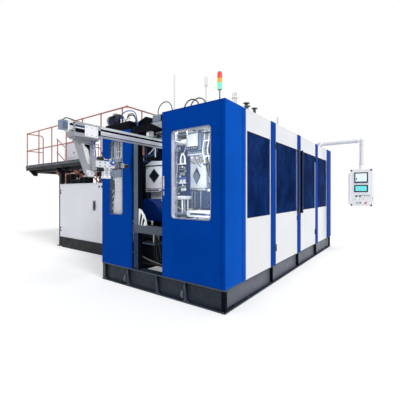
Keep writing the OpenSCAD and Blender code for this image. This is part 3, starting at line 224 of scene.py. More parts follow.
MAT = {
    "blue": paint("blue_paint", (0.0, 0.051, 0.34), 0.42, peel=160, peel_amt=0.02, spec=0.008),
    "white": paint("white_paint", (0.80, 0.80, 0.82), 0.42, var=0.03, peel=220, peel_amt=0.10),
    "cabinet": paint("cabinet_paint", (0.76, 0.77, 0.83), 0.45, var=0.03, peel=220, peel_amt=0.10),
    "base": paint("base_paint", (0.012, 0.019, 0.033), 0.5, var=0.15, peel=60, peel_amt=0.10,
                  grime=0.3, spec=0.25, dust=(0.10, 0.10, 0.10)),
    "frame": paint("frame_paint", (0.060, 0.078, 0.110), 0.42, var=0.10, grime=0.2, spec=0.3,
                   dust=(0.05, 0.05, 0.05)),
    "black": paint("black_paint", (0.010, 0.011, 0.014), 0.55, var=0.2, peel=80, grime=0.15,
                   spec=0.2, dust=(0.05, 0.05, 0.05)),
    "rail": paint("rail_paint", (0.47, 0.17, 0.14), 0.5, var=0.12, scale=3.0, peel=90,
                  peel_amt=0.1, grime=0.3, spec=0.3, dust=(0.42, 0.24, 0.22)),
    "steel": brushed("machined_steel", (0.62, 0.63, 0.65), 0.28, axis=2, grime=0.12),
    "steel_x": brushed("turned_steel", (0.55, 0.56, 0.58), 0.32, axis=0, grime=0.25),
    "alu": brushed("beam_metal", (0.84, 0.85, 0.85), 0.40, axis=1, metal=0.55),
    "mould": brushed("mould_metal", (0.70, 0.72, 0.75), 0.25, axis=2, metal=0.9),
    "band": brushed("band_metal", (0.50, 0.48, 0.46), 0.35, axis=1, grime=0.3),
    "zinc": brushed("zinc_plate", (0.66, 0.66, 0.62), 0.35, axis=2, metal=0.9, var=0.2),
    "plastic": plastic("black_plastic", (0.012, 0.012, 0.013), 0.45),
    "greyplastic": plastic("grey_plastic", (0.30, 0.31, 0.32), 0.5),
    "rubber": plastic("hose_rubber", (0.010, 0.010, 0.011), 0.6, 500, 0.15),
    "bluehose": plastic("blue_hose", (0.02, 0.10, 0.42), 0.35),
    "greyhose": plastic("grey_hose", (0.34, 0.36, 0.38), 0.4),
    "orangehose": plastic("orange_cable", (0.72, 0.18, 0.02), 0.45),
    # painted glow: the red and green plastic parts carry a faint emission though they are no lamps
    "red": plastic("red_plastic", (0.62, 0.02, 0.015), 0.3, glow=(0.7, 0.02, 0.01), power=0.08),
    "green": plastic("green_plastic", (0.02, 0.34, 0.10), 0.3, glow=(0.02, 0.5, 0.1), power=0.1),
    "lens_red": plastic("lens_red", (0.75, 0.03, 0.02), 0.2, glow=(1.0, 0.05, 0.02), power=0.5),
    "lens_amber": plastic("lens_amber", (0.90, 0.30, 0.02), 0.2, glow=(1.0, 0.36, 0.02),
                          power=0.5),
    "lens_green": plastic("lens_green", (0.05, 0.70, 0.25), 0.2, glow=(0.15, 1.0, 0.35),
                          power=1.1),
    # the tinted panes carry painted reflections
    "pane_tint": pane("tinted_pane", (0.004, 0.021, 0.100), 0.94, 0.05, spec=0.0008, painted_reflection=0.45),
    "pane_clear": pane("clear_pane", (0.62, 0.74, 0.84), 0.07, 0.03),
    "platewhite": paint("plate_white", (0.80, 0.81, 0.84), 0.4, var=0.04, peel=200, peel_amt=0.05,
                        grime=0.10, dust=(0.55, 0.57, 0.62)),
    "platebright": paint("plate_bright", (0.93, 0.94, 0.96), 0.4, var=0.03, peel=200, peel_amt=0.05,
                         grime=0.06, spec=0.3, dust=(0.62, 0.50, 0.50)),
    "jamb": paint("jamb_paint", (0.62, 0.64, 0.78), 0.45, var=0.05, peel=200, spec=0.3),
    "slate": paint("slate_paint", (0.018, 0.036, 0.085), 0.45, var=0.3, scale=6.0, spec=0.1),
    # painted highlight: a lighter copy of the blue paint for the faces of the long side, where the key
    # light falls
    "painted_lit_blue": paint("side_blue_painted_highlight", (0.001, 0.085, 0.48), 0.42, peel=160, peel_amt=0.02, spec=0.012),
    "pendantwhite": paint("pendant_paint", (0.95, 0.95, 0.97), 0.4, var=0.02, peel=260, peel_amt=0.05),
    # painted highlight: a lighter copy of the base paint, standing for light on the base's edges, bolts and
    # feet
    "edge": paint("base_painted_highlight", (0.060, 0.075, 0.100), 0.45, var=0.2, peel=60, grime=0.2, spec=0.3,
                  dust=(0.12, 0.12, 0.12)),
    # painted highlight: a lighter copy of the base paint for the lifting lugs and faces of the side beam
    "hook": paint("lug_painted_highlight", (0.100, 0.110, 0.140), 0.4, var=0.2, peel=60, grime=0.2, spec=0.3,
                  dust=(0.2, 0.2, 0.2)),
    "postlight": paint("post_paint", (0.085, 0.130, 0.185), 0.35, var=0.15, peel=80, spec=0.3),
    "pitch": paint("pitch_paint", (0.004, 0.005, 0.008), 0.6, var=0.3, peel=80, spec=0.03),
    "deepblue": paint("casing_blue", (0.0, 0.022, 0.16), 0.38, peel=160, peel_amt=0.02, spec=0.15),
    "bluegrey": paint("bluegrey_paint", (0.20, 0.26, 0.36), 0.4, var=0.12, spec=0.3),
    "grey": paint("grey_cast", (0.34, 0.35, 0.38), 0.42, var=0.08, peel=150, grime=0.12,
                  dust=(0.2, 0.2, 0.21)),
    "dark": paint("dark_part", (0.012, 0.014, 0.022), 0.45, var=0.2, peel=120, spec=0.3),
    # painted shade: near-black sheet paint for the shaded inside of the cell
    "lining": paint("lining_sheet", (0.004, 0.007, 0.020), 0.6, var=0.3, peel=60, spec=0.1),
    "greenpad": plastic("green_pad", (0.05, 0.42, 0.12), 0.5),
    "screen_up": plastic("screen_upper", (0.10, 0.12, 0.15), 0.12, amt=0.0, glow=(0.86, 0.95, 1.0),
                         power=0.9),
    "screen_key": plastic("screen_key", (0.02, 0.12, 0.13), 0.12, amt=0.0, glow=(0.22, 0.86, 0.90),
                          power=0.9),
    "screen_low": plastic("screen_lower", (0.02, 0.10, 0.12), 0.12, amt=0.0, glow=(0.10, 0.72, 0.78),
                          power=0.85),
    "screen_bar": plastic("screen_bars", (0.02, 0.06, 0.10), 0.12, amt=0.0, glow=(0.10, 0.24, 0.50),
                          power=0.8),
    "screen_dark": plastic("screen_window", (0.01, 0.02, 0.03), 0.12, amt=0.0, glow=(0.08, 0.14, 0.18),
                           power=0.6),
    "cream": plastic("cream_resin", (0.72, 0.72, 0.68), 0.35),
    "ceramic": plastic("ceramic_cover", (0.75, 0.72, 0.66), 0.3),
    "copper": brushed("brass_fitting", (0.72, 0.50, 0.22), 0.3, axis=2, metal=1.0),
}


# Mesh builder
class Piece:
    """Collects simple solids into one mesh object, in millimetres from the point at."""

    def __init__(self, name, slot, body="machine", at=(0, 0, 0)):
        self.name, self.body, self.slot, self.at = name, body, slot, at
        self.vs, self.fs, self.fm, self.sm, self.mats = [], [], [], [], []

    def m(self, key):
        if key not in self.mats:
            self.mats.append(key)
        return self.mats.index(key)

    def add(self, vs, fs, key, smooth=False, xf=None):
        n = len(self.vs)
        self.vs += [tuple(xf @ Vector(v)) for v in vs] if xf else [tuple(v) for v in vs]
        self.fs += [tuple(i + n for i in f) for f in fs]
        k = self.m(key)
        if isinstance(smooth, bool):
            smooth = [smooth] * len(fs)
        self.fm += [k] * len(fs)
        self.sm += smooth

    def box(self, x0, y0, z0, x1, y1, z1, key, b=3):
        """A box with chamfered edges."""
        lo, hi = zip(*(sorted(q) for q in ((x0, x1), (y0, y1), (z0, z1))))
        b = min([b] + [(h - l) * 0.3 for l, h in zip(lo, hi)])
        vs, fs, idx = [], [], {}
        for *corner, ax in product((0, 1), (0, 1), (0, 1), range(3)):
            p = []
            for a, s in enumerate(corner):
                edge = hi[a] if s else lo[a]
                p.append(edge if a == ax else edge + (-b if s else b))
            idx[(*corner, ax)] = len(vs)
            vs.append(p)

        def at(corner, ax):
            return idx[(*corner[:3], ax)]

        for ax in range(3):
            u, v = (ax + 1) % 3, (ax + 2) % 3
            for s in (0, 1):
                ring = []
                for du, dv in ((0, 0), (1, 0), (1, 1), (0, 1)):
                    c = [0, 0, 0]
                    c[ax], c[u], c[v] = s, du, dv
                    ring.append(at(c, ax))
                fs.append(tuple(ring if s else ring[::-1]))
        for ax in range(3):
            u, v = (ax + 1) % 3, (ax + 2) % 3
            for du, dv in product((0, 1), (0, 1)):
                a, c = [0, 0, 0], [0, 0, 0]
                a[u], a[v], c[u], c[v] = du, dv, du, dv
                c[ax] = 1
                q = (at(a, u), at(c, u), at(c, v), at(a, v))
                fs.append(q if du == dv else q[::-1])
        for s in idx:
            if s[3] == 0:
                t = (at(s, 0), at(s, 1), at(s, 2))
                fs.append(t if (s[0] + s[1] + s[2]) % 2 else t[::-1])
        self.add(vs, fs, key)

    def lathe(self, prof, key, x=0, y=0, z=0, axis="z", n=24, xf=None):
        """Profile of (radius, height) turned about an axis; ends with radius 0 are closed."""
        vs, fs, sm = [], [], []
        rings = []
        for r, h in prof:
            if r <= 1e-6:
                rings.append([len(vs)])
                vs.append((0, 0, h))
            else:
                rings.append(list(range(len(vs), len(vs) + n)))
                for i in range(n):
                    a = 2 * pi * i / n
                    vs.append((r * cos(a), r * sin(a), h))
        for j in range(len(rings) - 1):
            p, q = rings[j], rings[j + 1]
            flat = abs(prof[j][1] - prof[j + 1][1]) < 1e-6
            for i in range(n):
                k = (i + 1) % n
                if len(p) == 1:
                    fs.append((p[0], q[k], q[i]))
                elif len(q) == 1:
                    fs.append((p[i], p[k], q[0]))
                else:
                    fs.append((p[i], p[k], q[k], q[i]))
                sm.append(not flat)
        rot = {"z": Matrix.Identity(3), "x": Matrix(((0, 0, 1), (0, 1, 0), (-1, 0, 0))),
               "y": Matrix(((1, 0, 0), (0, 0, 1), (0, -1, 0))),
               "-y": Matrix(((1, 0, 0), (0, 0, -1), (0, 1, 0))),
               "-x": Matrix(((0, 0, -1), (0, 1, 0), (1, 0, 0)))}[axis].to_4x4()
        base = Matrix.Translation((x, y, z)) @ rot
        self.add(vs, fs, key, sm, (xf @ base) if xf else base)

    def rod(self, x0, y0, z0, x1, y1, z1, r, key, n=16):
        """A round bar between two points with slightly chamfered ends."""
        a, b = Vector((x0, y0, z0)), Vector((x1, y1, z1))
        d = (b - a).length
        c = min(r * 0.18, 3, d * 0.3)
        turn = Vector((0, 0, 1)).rotation_difference(b - a).to_matrix().to_4x4()
        self.lathe([(0, 0), (r - c, 0), (r, c), (r, d - c), (r - c, d), (0, d)], key, n=n,
                   xf=Matrix.Translation(a) @ turn)

    def post(self, x, y, z0, z1, r, key, n=16):
        self.rod(x, y, z0, x, y, z1, r, key, n)

    def tube(self, pts, r, key, n=10, sub=6):
        """A round hose or cable along a smooth curve through the points."""
        pts = [Vector(p) for p in pts]
        if len(pts) > 2:
            ext = [2 * pts[0] - pts[1]] + pts + [2 * pts[-1] - pts[-2]]
            out = []
            for i in range(1, len(ext) - 2):
                p0, p1, p2, p3 = ext[i - 1:i + 3]
                for k in range(sub):
                    t = k / sub
                    out.append(0.5 * ((2 * p1) + (p2 - p0) * t + (2 * p0 - 5 * p1 + 4 * p2 - p3)
                                      * t * t + (3 * p1 - p0 - 3 * p2 + p3) * t ** 3))
            pts = out + [pts[-1]]
        vs, fs = [], []
        up = None
        for i, p in enumerate(pts):
            d = (pts[min(i + 1, len(pts) - 1)] - pts[max(i - 1, 0)]).normalized()
            if up is None:
                up = d.orthogonal().normalized()
            up = (up - d * up.dot(d)).normalized()
            w = d.cross(up)
            for k in range(n):
                a = 2 * pi * k / n
                vs.append(p + (up * cos(a) + w * sin(a)) * r)
        for i in range(len(pts) - 1):
            for k in range(n):
                a, b = i * n + k, i * n + (k + 1) % n
                fs.append((a, b, b + n, a + n))
        sm = [True] * len(fs) + [False, False]
        fs += [tuple(reversed(range(n))), tuple(range(len(vs) - n, len(vs)))]
        self.add(vs, fs, key, sm)

    def prism(self, outline, axis, lo, hi, key, xf=None, holes=()):
        """An outline extruded along an axis: x takes (y, z), y takes (x, z), z takes (x, y)."""
        put = {"x": lambda u, v, w: (w, u, v), "y": lambda u, v, w: (u, w, v),
               "z": lambda u, v, w: (u, v, w)}[axis]
        loops = [list(outline)] + [list(h) for h in holes]
        fs = []
        flat = [p for l in loops for p in l]
        tris = tessellate_polygon([[Vector((p[0], p[1], 0)) for p in l] for l in loops])
        n = len(flat)
        vs = [put(u, v, lo) for u, v in flat] + [put(u, v, hi) for u, v in flat]
        for t in tris:
            a, b, c = (Vector((*flat[i], 0)) for i in t)
            ccw = (b - a).cross(c - a).z > 0
            if axis == "y":
                ccw = not ccw
            t = t if ccw else t[::-1]
            fs.append(tuple(i + n for i in t))
            fs.append(tuple(t[::-1]))
        base = 0
        for li, l in enumerate(loops):
            area = sum(l[i][0] * l[(i + 1) % len(l)][1] - l[(i + 1) % len(l)][0] * l[i][1]
                       for i in range(len(l)))
            flip = (area > 0) == (li > 0)
            if axis == "y":
                flip = not flip
            for i in range(len(l)):
                a, b = base + i, base + (i + 1) % len(l)
                q = (a, b, b + n, a + n)
                fs.append(q[::-1] if flip else q)
            base += len(l)
        self.add(vs, fs, key, False, xf)

    def bolt(self, x, y, z, axis, r, key="zinc", h=None):
        """A hexagon bolt head on a washer, standing out of a face along an axis."""
        h = h or r * 0.7
        self.lathe([(r * 1.35, 0), (r * 1.35, r * 0.18), (0, r * 0.18)], key, x, y, z, axis, 14)
        self.lathe([(r, r * 0.15), (r, h), (r * 0.8, h + r * 0.1), (0, h + r * 0.1)],
                   key, x, y, z, axis, 6)

    def __enter__(self):
        return self

    def __exit__(self, *failure):
        me = bpy.data.meshes.new(self.name)
        me.from_pydata([[(c + o) / 1000 for c, o in zip(v, self.at)] for v in self.vs], [], self.fs)
        for k in self.mats:
            me.materials.append(MAT[k])
        me.polygons.foreach_set("material_index", self.fm)
        me.polygons.foreach_set("use_smooth", self.sm)
        me.validate()
        me.update()
        ob = bpy.data.objects.new(self.name, me)
        bpy.context.scene.collection.objects.link(ob)
        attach(ob, self.body)


def rrect(x0, x1, y0, y1, r, n=6):
    """Outline of a rectangle with rounded corners."""
    out = []
    for cx, cy, a0 in ((x1 - r, y1 - r, 0), (x0 + r, y1 - r, 90), (x0 + r, y0 + r, 180),
                       (x1 - r, y0 + r, 270)):
        for i in range(n + 1):
            a = radians(a0 + 90 * i / n)
            out.append((cx + r * cos(a), cy + r * sin(a)))
    return out


def rect(x0, x1, y0, y1):
    return [(x0, y0), (x1, y0), (x1, y1), (x0, y1)]


def knob(r, h, q, k):
    """Profile of a round button: radius r up to h, then q at the closed top, k."""
    return [(r, 0), (r, h), (q, k), (0, k)]


def cup(r, h, q, k, low):
    """Profile of a rim: radius r up to h, q at k, and a sunk middle at low."""
    return [(r, 0), (r, h), (q, k), (q, low), (0, low)]


def head(r, q, h, k):
    """Profile of a flat screw head."""
    return [(r, 0), (q, h), (0, k)]


def band(q, r, lo, hi, c):
    """Profile of an open band with chamfered edges, from radius q out to r."""
    return [(q, lo), (r, lo + c), (r, hi - c), (q, hi)]


def around(n, r, start=0):
    """n points evenly round a circle of radius r."""
    turns = [start + 2 * pi * i / n for i in range(n)]
    return [(r * cos(a), r * sin(a)) for a in turns]


def turned(at, tilt, axis, turn):
    """Turns a shape about Z by turn, then tilts it by degrees about another axis and moves it."""
    return Matrix.Translation(at) @ Matrix.Rotation(radians(tilt), 4, axis) @ Matrix.Rotation(turn, 4, "Z")


def each(call, *rows):
    """Calls the same function once with every row."""
    for row in rows:
        call(*row)


def dress(material, *names):
    for n in names:
        me = NODES[n].data
        me.materials.clear()
        me.materials.append(MAT[material])


def dress_where(material, name, test):
    """A second material on the faces of a node whose centre passes a test."""
    ob = NODES[name]
    me = ob.data
    me.materials.append(MAT[material])
    k = len(me.materials) - 1
    for f in me.polygons:
        if test(ob.matrix_world @ f.center):
            f.material_index = k


# Stage and light
def make_stage():
    t = Tree("floor_paint")
    t.set("Base Color", (0.80, 0.80, 0.80, 1))
    t.set("Roughness", 0.9)
    t.set("Specular IOR Level", 0.1)
    glow = t.seen_by(("Is Camera Ray", "Is Glossy Ray"), t.node("ShaderNodeEmission", Strength=0.0),
                     t.node("ShaderNodeEmission", Strength=0.28))
    add = t.node("ShaderNodeAddShader")
    t.link(t.bsdf.outputs[0], add.inputs[0])
    t.link(glow, add.inputs[1])
    t.link(add.outputs[0], t.nt.nodes["Material Output"].inputs["Surface"])
    me = bpy.data.meshes.new("floor")
    s = 60.0
    me.from_pydata([(-s, -s, -0.001), (s, -s, -0.001), (s, s, -0.001), (-s, s, -0.001)], [],
                   [(0, 1, 2, 3)])
    me.materials.append(t.mat)
    floor = bpy.data.objects.new("floor", me)
    bpy.context.scene.collection.objects.link(floor)

    world = bpy.data.worlds.new("world")
    bpy.context.scene.world = world
    world.use_nodes = True
    w = Graph(world.node_tree)
    w.nt.nodes.clear()
    sky = w.seen_by(("Is Camera Ray", "Is Glossy Ray", "Is Transmission Ray"),
                    w.node("ShaderNodeBackground", Strength=WORLD_LIGHT, Color=(0.96, 0.98, 1.0, 1)),
                    w.node("ShaderNodeBackground", Strength=1.0, Color=(1, 1, 1, 1)))
    w.link(sky, w.node("ShaderNodeOutputWorld").inputs["Surface"])

    for name, toward, strength, angle in SUNS:
        data = bpy.data.lights.new(name, "SUN")
        data.energy, data.angle = strength, radians(angle)
        place_lamp(data).rotation_euler = Vector(toward).to_track_quat("Z", "Y").to_euler()
    for name, at, size, watts, tilt in LAMPS:
        data = bpy.data.lights.new(name, "AREA")
        data.shape = "RECTANGLE"
        data.size, data.size_y = size
        data.energy, data.color = watts, (0.86, 0.93, 1.0)
        ob = place_lamp(data)
        ob.location, ob.rotation_euler = at, (radians(tilt), 0, 0)
        ob.visible_camera = ob.visible_glossy = False
    bpy.context.scene.view_settings.view_transform = "Standard"


def place_lamp(data):
    ob = bpy.data.objects.new(data.name, data)
    bpy.context.scene.collection.objects.link(ob)
    return ob


WORLD_LIGHT = 0.50
LAMPS = (("cell_lamp_front", (0.55, -2.86, 2.56), (0.6, 0.12), 3.5, 42),
         ("cell_lamp_low", (0.75, -2.90, 1.75), (0.5, 0.9), 7, 90),
         ("cell_lamp_exit", (-0.42, -2.80, 2.30), (0.14, 0.14), 4, 62),
         ("cell_lamp_middle", (0.75, -0.70, 2.60), (0.6, 1.2), 18, 0),
         ("pendant_lamp", (2.30, 0.60, 1.85), (0.8, 0.8), 3.6, 90))
SUNS = (("key", (1.0, -0.30, 1.0), 1.9, 25), ("fill", (-0.5, -1.0, 0.8), 0.45, 60))
make_stage()


# Shared sizes, in millimetres
FRONT = -3020           # face of the front panels
SIDE = 1340             # face of the long side
BASE = 315              # top of the base
WIN = (1225, 2525)      # windows, low and high
DOOR = (202, 1287)      # the front door's edges
DOOR_WIN = (395, 1108)  # the front door's window
LEFT = (-1340, -540)    # the left front panel's edges
LEFT_WIN = (-1114, -756)        # its window
PILLARS = (-1406, 21, 1448)     # middles of the side pillars
PILLAR_HALF = 98        # half the width of a pillar
PANEL_TOP = 2850        # top of the front and side panels
HEAD_X = -230           # axis of the die head and of both blow units
DECK = 2500             # top of the platform
CABINET = -1860         # face of the control cabinet
BEAM = (-160, -4360, 2375)      # the robot beam's outer end, at its underside
CARRIAGE = (-160, -3925, 2375)  # the carriage's inner end


def ring(p, x0, x1, z0, z1, r, w, face, t, key, axis="y"):
    """A raised frame round a window; face is the plane it stands on, t how far it stands out."""
    outer = rrect(x0 - w, x1 + w, z0 - w, z1 + w, r + w, 8)
    inner = rrect(x0, x1, z0, z1, r, 8)
    lo, hi = sorted((face, face + t))
    p.prism(outer, axis, lo, hi, key, holes=[inner])


def side_bay(p, y0, y1):
    """Frame, seal and fixings round one tinted window of the long side."""
    m = 34
    ring(p, y0 + m, y1 - m, *WIN, 10, 7, 0, 3, "white", "x")
    ring(p, y0 + m + 3, y1 - m - 3, WIN[0] + 3, WIN[1] - 3, 8, 4, 0.5, 3.5, "rubber", "x")
    for z in (BASE + 6, PANEL_TOP - 12):
        p.box(-1, y0 + 3, z, 2, y1 - 3, z + 6, "white", 1)
    for y in (y0 + 4, y1 - 10):
        p.box(-1, y, BASE + 6, 2, y + 6, PANEL_TOP - 6, "white", 1)


# Front panels, front door and corner
with Piece("front_door_trim", "blue_paint", "front_door", at=(0, FRONT, 0)) as p:
    ring(p, *DOOR_WIN, *WIN, 48, 6, 0, -3, "cream")
    ring(p, DOOR_WIN[0] + 4, DOOR_WIN[1] - 4, WIN[0] + 4, WIN[1] - 4, 44, 6, -0.5, -6, "rubber")
    p.prism(rrect(*DOOR_WIN, *WIN, 48, 8), "y", 1, 72, "jamb",
        holes=[rrect(DOOR_WIN[0] + 3, DOOR_WIN[1] - 3, WIN[0] + 3, WIN[1] - 3, 45, 8)])
    for x in (DOOR[0], DOOR[1] - 12):
        p.box(x + 2, -3, BASE + 8, x + 10, 1, PANEL_TOP - 4, "blue", 1.5)
    for z in (BASE + 6, PANEL_TOP - 12):
        p.box(DOOR[0] + 2, -3, z, DOOR[1] - 2, 1, z + 8, "blue", 1.5)
    p.box(DOOR[0] + 22, -4, 1560, DOOR[0] + 50, 1, 1630, "greyplastic", 4)
    p.lathe(cup(9, 6, 4, 6, 3), "steel", DOOR[0] + 36, -3, 1595, "-y", 16)

with Piece("left_panel_trim", "blue_paint", at=(0, FRONT, 0)) as p:
    ring(p, *LEFT_WIN, *WIN, 48, 5, 0, -3, "cream")
    ring(p, LEFT_WIN[0] + 4, LEFT_WIN[1] - 4, WIN[0] + 4, WIN[1] - 4, 44, 6, -0.5, -6, "rubber")
    for x in LEFT:
        s = -1 if x > -1000 else 1
        p.box(x, -2, BASE + 4, x + s * 8, 1, 2686, "blue", 1)
    for x, z in product((-1300, -580), (420, 1020, 2600)):
        p.lathe(head(8, 6, 3, 4.5), "blue", x, 0, z, "-y", 12)

with Piece("corner_trim", "blue_paint", at=(SIDE, 0, 0)) as p:
    for z in (450, 1050, 1650, 2250, 2740):
        p.lathe(head(7, 5, 3, 4), "blue", 0, -2485, z, "x", 12)
    p.prism([(-1, FRONT - 1), (2, FRONT + 12), (-14, FRONT - 2)], "z", BASE, PANEL_TOP, "blue")
    each(p.box, (-3, -2538, BASE, -12, -2534, PANEL_TOP, "rubber", 0.5),
         (-4, -2437, BASE, -20, -2433, PANEL_TOP, "rubber", 0.5))
    for y in (-2528, -2447):
        p.box(-1, y - 4, BASE + 3, 3, y + 4, PANEL_TOP - 3, "blue", 1)

# Long guarded side
ends = [(-2433, PILLARS[0] - PILLAR_HALF - 4), (PILLARS[2] + PILLAR_HALF + 4, 2542)]

with Piece("fixed_bay_trim", "white_paint", at=(SIDE, 0, 0)) as p:
    for y0, y1 in ends:
        side_bay(p, y0, y1)
        for y, z in product((y0 + 50, y1 - 50), (380, 1150, 2600, 2800)):
            p.lathe(head(7, 5, 2.5, 3.5), "zinc", 0, y, z, "x", 12)

for name, y0, y1, pull in (("side_door_a", PILLARS[0] + PILLAR_HALF + 5, PILLARS[1] - PILLAR_HALF - 5, 1),
        ("side_door_b", PILLARS[1] + PILLAR_HALF + 5, PILLARS[2] - PILLAR_HALF - 5, 0)):
    with Piece(name + "_trim", "white_paint", name, at=(SIDE, 0, 0)) as p:
        side_bay(p, y0, y1)
        y = y1 - 17 if pull else y0 + 17
        for z in (WIN[0] - 60, WIN[1]):
            p.box(33, y - 14, z - 4, 57, y + 14, z + 4, "rubber", 2)
        for z, dz in product((1255, 2495), (-22, 22)):
            p.lathe(head(4, 4, 2, 2.5), "zinc", 55.5, y, z + dz, "x", 10)
        p.box(-0.5, y - 13, 1020, 4, y + 13, 1120, "plastic")
        p.lathe(cup(8, 5, 3, 5, 2), "steel", 3, y, 1070, "x", 16)

with Piece("pillar_trim", "blue_paint", at=(SIDE, 0, 0)) as p:
    for y in PILLARS:
        for s in (-1, 1):
            yy = y + s * (PILLAR_HALF - 5)
            p.box(11.5, yy - 3, BASE + 3, 15, yy + 3, PANEL_TOP - 3, "blue", 1)
        for z in (400, 1600, 2780):
            p.lathe(head(7, 5, 2.5, 3.5), "blue", 12, y, z, "x", 12)
    p.box(11.5, 2550, BASE + 3, 15, 2556, PANEL_TOP - 3, "blue", 1)

with Piece("hinge_trim", "black_paint", at=(SIDE, 0, 0)) as p:
    for (y, s), z in product(((PILLARS[0] + PILLAR_HALF, -1), (PILLARS[2] - PILLAR_HALF, 1)), (620, 2440)):
        for dz in (-40, 40):
            p.bolt(16.5, y + s * 26, z + dz, "x", 5, "zinc")
        for dz in (-61, 58):
            p.lathe([(9.5, 0), (10.5, 1.5), (8, 3), (0, 3.5)], "black", 21, y - s * 2.5, z + dz, "z", 16)

# Base: bolts, levelling feet and weld beads
with Piece("base_hardware", "base_paint") as p:
    # bolt heads and feet take the lighter base paint, a painted highlight
    for y in (*PILLARS, -2990, 2980):
        for dy in (-35, 47):
            p.bolt(SIDE - 30, y + dy, 16, "z", 11, "edge", 12)
        each(p.rod, (SIDE - 58, y + 6, 16, SIDE - 10, y + 6, 18, 6, "base", 8),
             (SIDE - 58, y - 3, 297, SIDE - 10, y - 3, 297, 6, "base", 8))
    for x, dx in product((-1300, -640, 60, 640, 1300), (-30, 42)):
        p.bolt(x + dx, FRONT + 28, 16, "z", 11, "edge", 12)
    for y in (-2300, -700, 750, 2200):
        p.bolt(SIDE - 30, y, 16, "z", 14, "edge", 14)
        each(p.post, (SIDE - 30, y, 1, 16, 24, "plastic"), (SIDE - 30, y, 16, 52, 6, "edge", 10))
    for sx, sy in product((-1, 1), (-1, 1)):
        x, y = sx * 1200, sy * 2800
        p.lathe([(26, 0), (26, 4), (18, 4), (18, 20), (11, 20), (11, 42), (0, 44)], "edge", x, y, 24, "z",
            6)
    for sx in (-1, 1):
        x0, x1 = sorted((sx * (SIDE - 58), sx * (SIDE - 4)))
        p.box(x0, FRONT + 56, 17, x1, FRONT + 64, 298, "base", 1)


def tread(p, x0, x1, y0, y1, z):
    """Raised lens pattern of a chequer plate, as low crossed bars."""
    pitch = 110
    i = 0
    x = x0 + pitch * 0.5
    while x < x1 - 20:
        y = y0 + pitch * (0.5 if i % 2 else 1.0)
        k = 0
        while y < y1 - 20:
            s = 1 if (i + k) % 2 else -1
            vs = [(x - 16, y - 16 * s, z), (x + 4, y - 4 * s, z + 2.5), (x + 16, y + 16 * s, z),
                  (x - 4, y + 4 * s, z + 2.5)]
            p.add(vs, [(0, 1, 3), (1, 2, 3)] if s > 0 else [(0, 3, 1), (1, 3, 2)], "zinc")
            y += pitch
            k += 1
        x += pitch
        i += 1


# Platform
with Piece("deck_plates", "frame_paint", at=(0, 0, DECK)) as p:
    for x0, x1, y0, y1 in ((-7200, -1970, -1940, -1310), (-4440, -1970, -1300, -530),
            (-7200, -6510, -1300, 1940), (-6500, -1970, 1000, 1940)):
        tread(p, x0, x1, y0, y1, 0.2)
    for x in (-6300, -5400, -4500, -3600, -2700):
        each(p.box, (x - 2, -1945, -0.5, x + 2, -1310, 0.6, "rubber", 0.2),
             (x - 2, 1000, -0.5, x + 2, 1945, 0.6, "rubber", 0.2))

with Piece("deck_edge", "frame_paint", at=(0, 0, DECK)) as p:
    for s in (-1, 1):
        y = s * 1950
        lo, hi = (y - 6, y + 1) if s < 0 else (y - 1, y + 6)
        each(p.box, (-7210, lo, -64, -1960, hi, -52, "frame", 2),
             (-7210, lo, -10, -1960, hi, 2, "frame", 2))
        q = s * 1908
        p.box(-7150, q - 3, 0, -1985, q + 3, 30, "black", 1)
        for x in [-7000 + i * 620 for i in range(9)]:
            p.bolt(x, s * 1955.5, -32, "-y" if s < 0 else "y", 7, "zinc", 6)

with Piece("rail_feet", "rail_paint", at=(0, 0, DECK)) as p:
    for s, i in product((-1, 1), range(7)):
        x = -7160 + i * 835
        for dx, dy in around(4, 34, pi / 4):
            p.bolt(x + dx, s * 1920 + dy, 12, "z", 5)
        for z in (520, 1100):
            p.lathe(band(17.2, 21.5, -18, 18, 3), "rail", x, s * 1920, z, "z", 16)

with Piece("under_deck", "black_paint") as p:
    for i in range(4):
        x = -4900 + i * 860
        p.box(x - 30, -1900, 2340, x + 30, -1740, 2438, "black")
        p.prism([(-1900, 2340), (-1900, 2400), (-1740, 2400), (-1740, 2240)], "x", x - 6, x + 6, "black")
    for y in (-1520, -1400):
        p.tube([(-7000, y, 2400), (-5000, y, 2400), (-3200, y, 2400), (-1360, y, 2400)], 18, "rubber", 8, 2)
    p.box(-7020, -1630, 2360, -1400, -1380, 2375, "zinc", 2)
    for x, s, dx, dy in product((-5300, -2700), (-1, 1), (-80, 80), (-80, 80)):
        p.bolt(x + dx, s * 1700 + dy, 16, "z", 12, "zinc")

# Stair
with Piece("stair_treads", "rail_paint") as p:
    rise = DECK / 11
    go = rise / 0.64
    for i in range(1, 11):
        x0 = -6500 + (i - 1) * go + 10
        z = DECK - i * rise
        for k in range(6):
            y = -1255 + k * 105
            p.box(x0 + 10, y, z - 0.5, x0 + go + 10, y + 85, z + 4, "zinc", 2)
        p.box(x0 + go, -1255, z - 45, x0 + go + 32, -645, z + 5, "rail")

# Control cabinet
with Piece("cabinet_trim", "cabinet_paint", at=(0, CABINET, 0)) as p:
    p.box(-5110, -4, 1853, -2952, 525, 1862, "cabinet")
    for x in (-5104, -2960):
        p.box(x, -2, 325, x + 4, 1, 1850, "cabinet", 1)
    for i in range(9):
        z = 550 + i * 32
        p.prism([(1, z), (-10, z + 4), (1, z + 22)], "x", -3180, -3000, "cabinet")
    for x in (-5050, -3020):
        each(p.bolt, (x, 100, 1862, "z", 14, "zinc"), (x, 420, 1862, "z", 14, "zinc"))
    for x in (-3190, -3075):
        each(p.box, (x, -4, 1735, x + 75, 1, 1790, "greyplastic"),
             (x + 12, -6, 1748, x + 63, -3, 1777, "slate", 2))

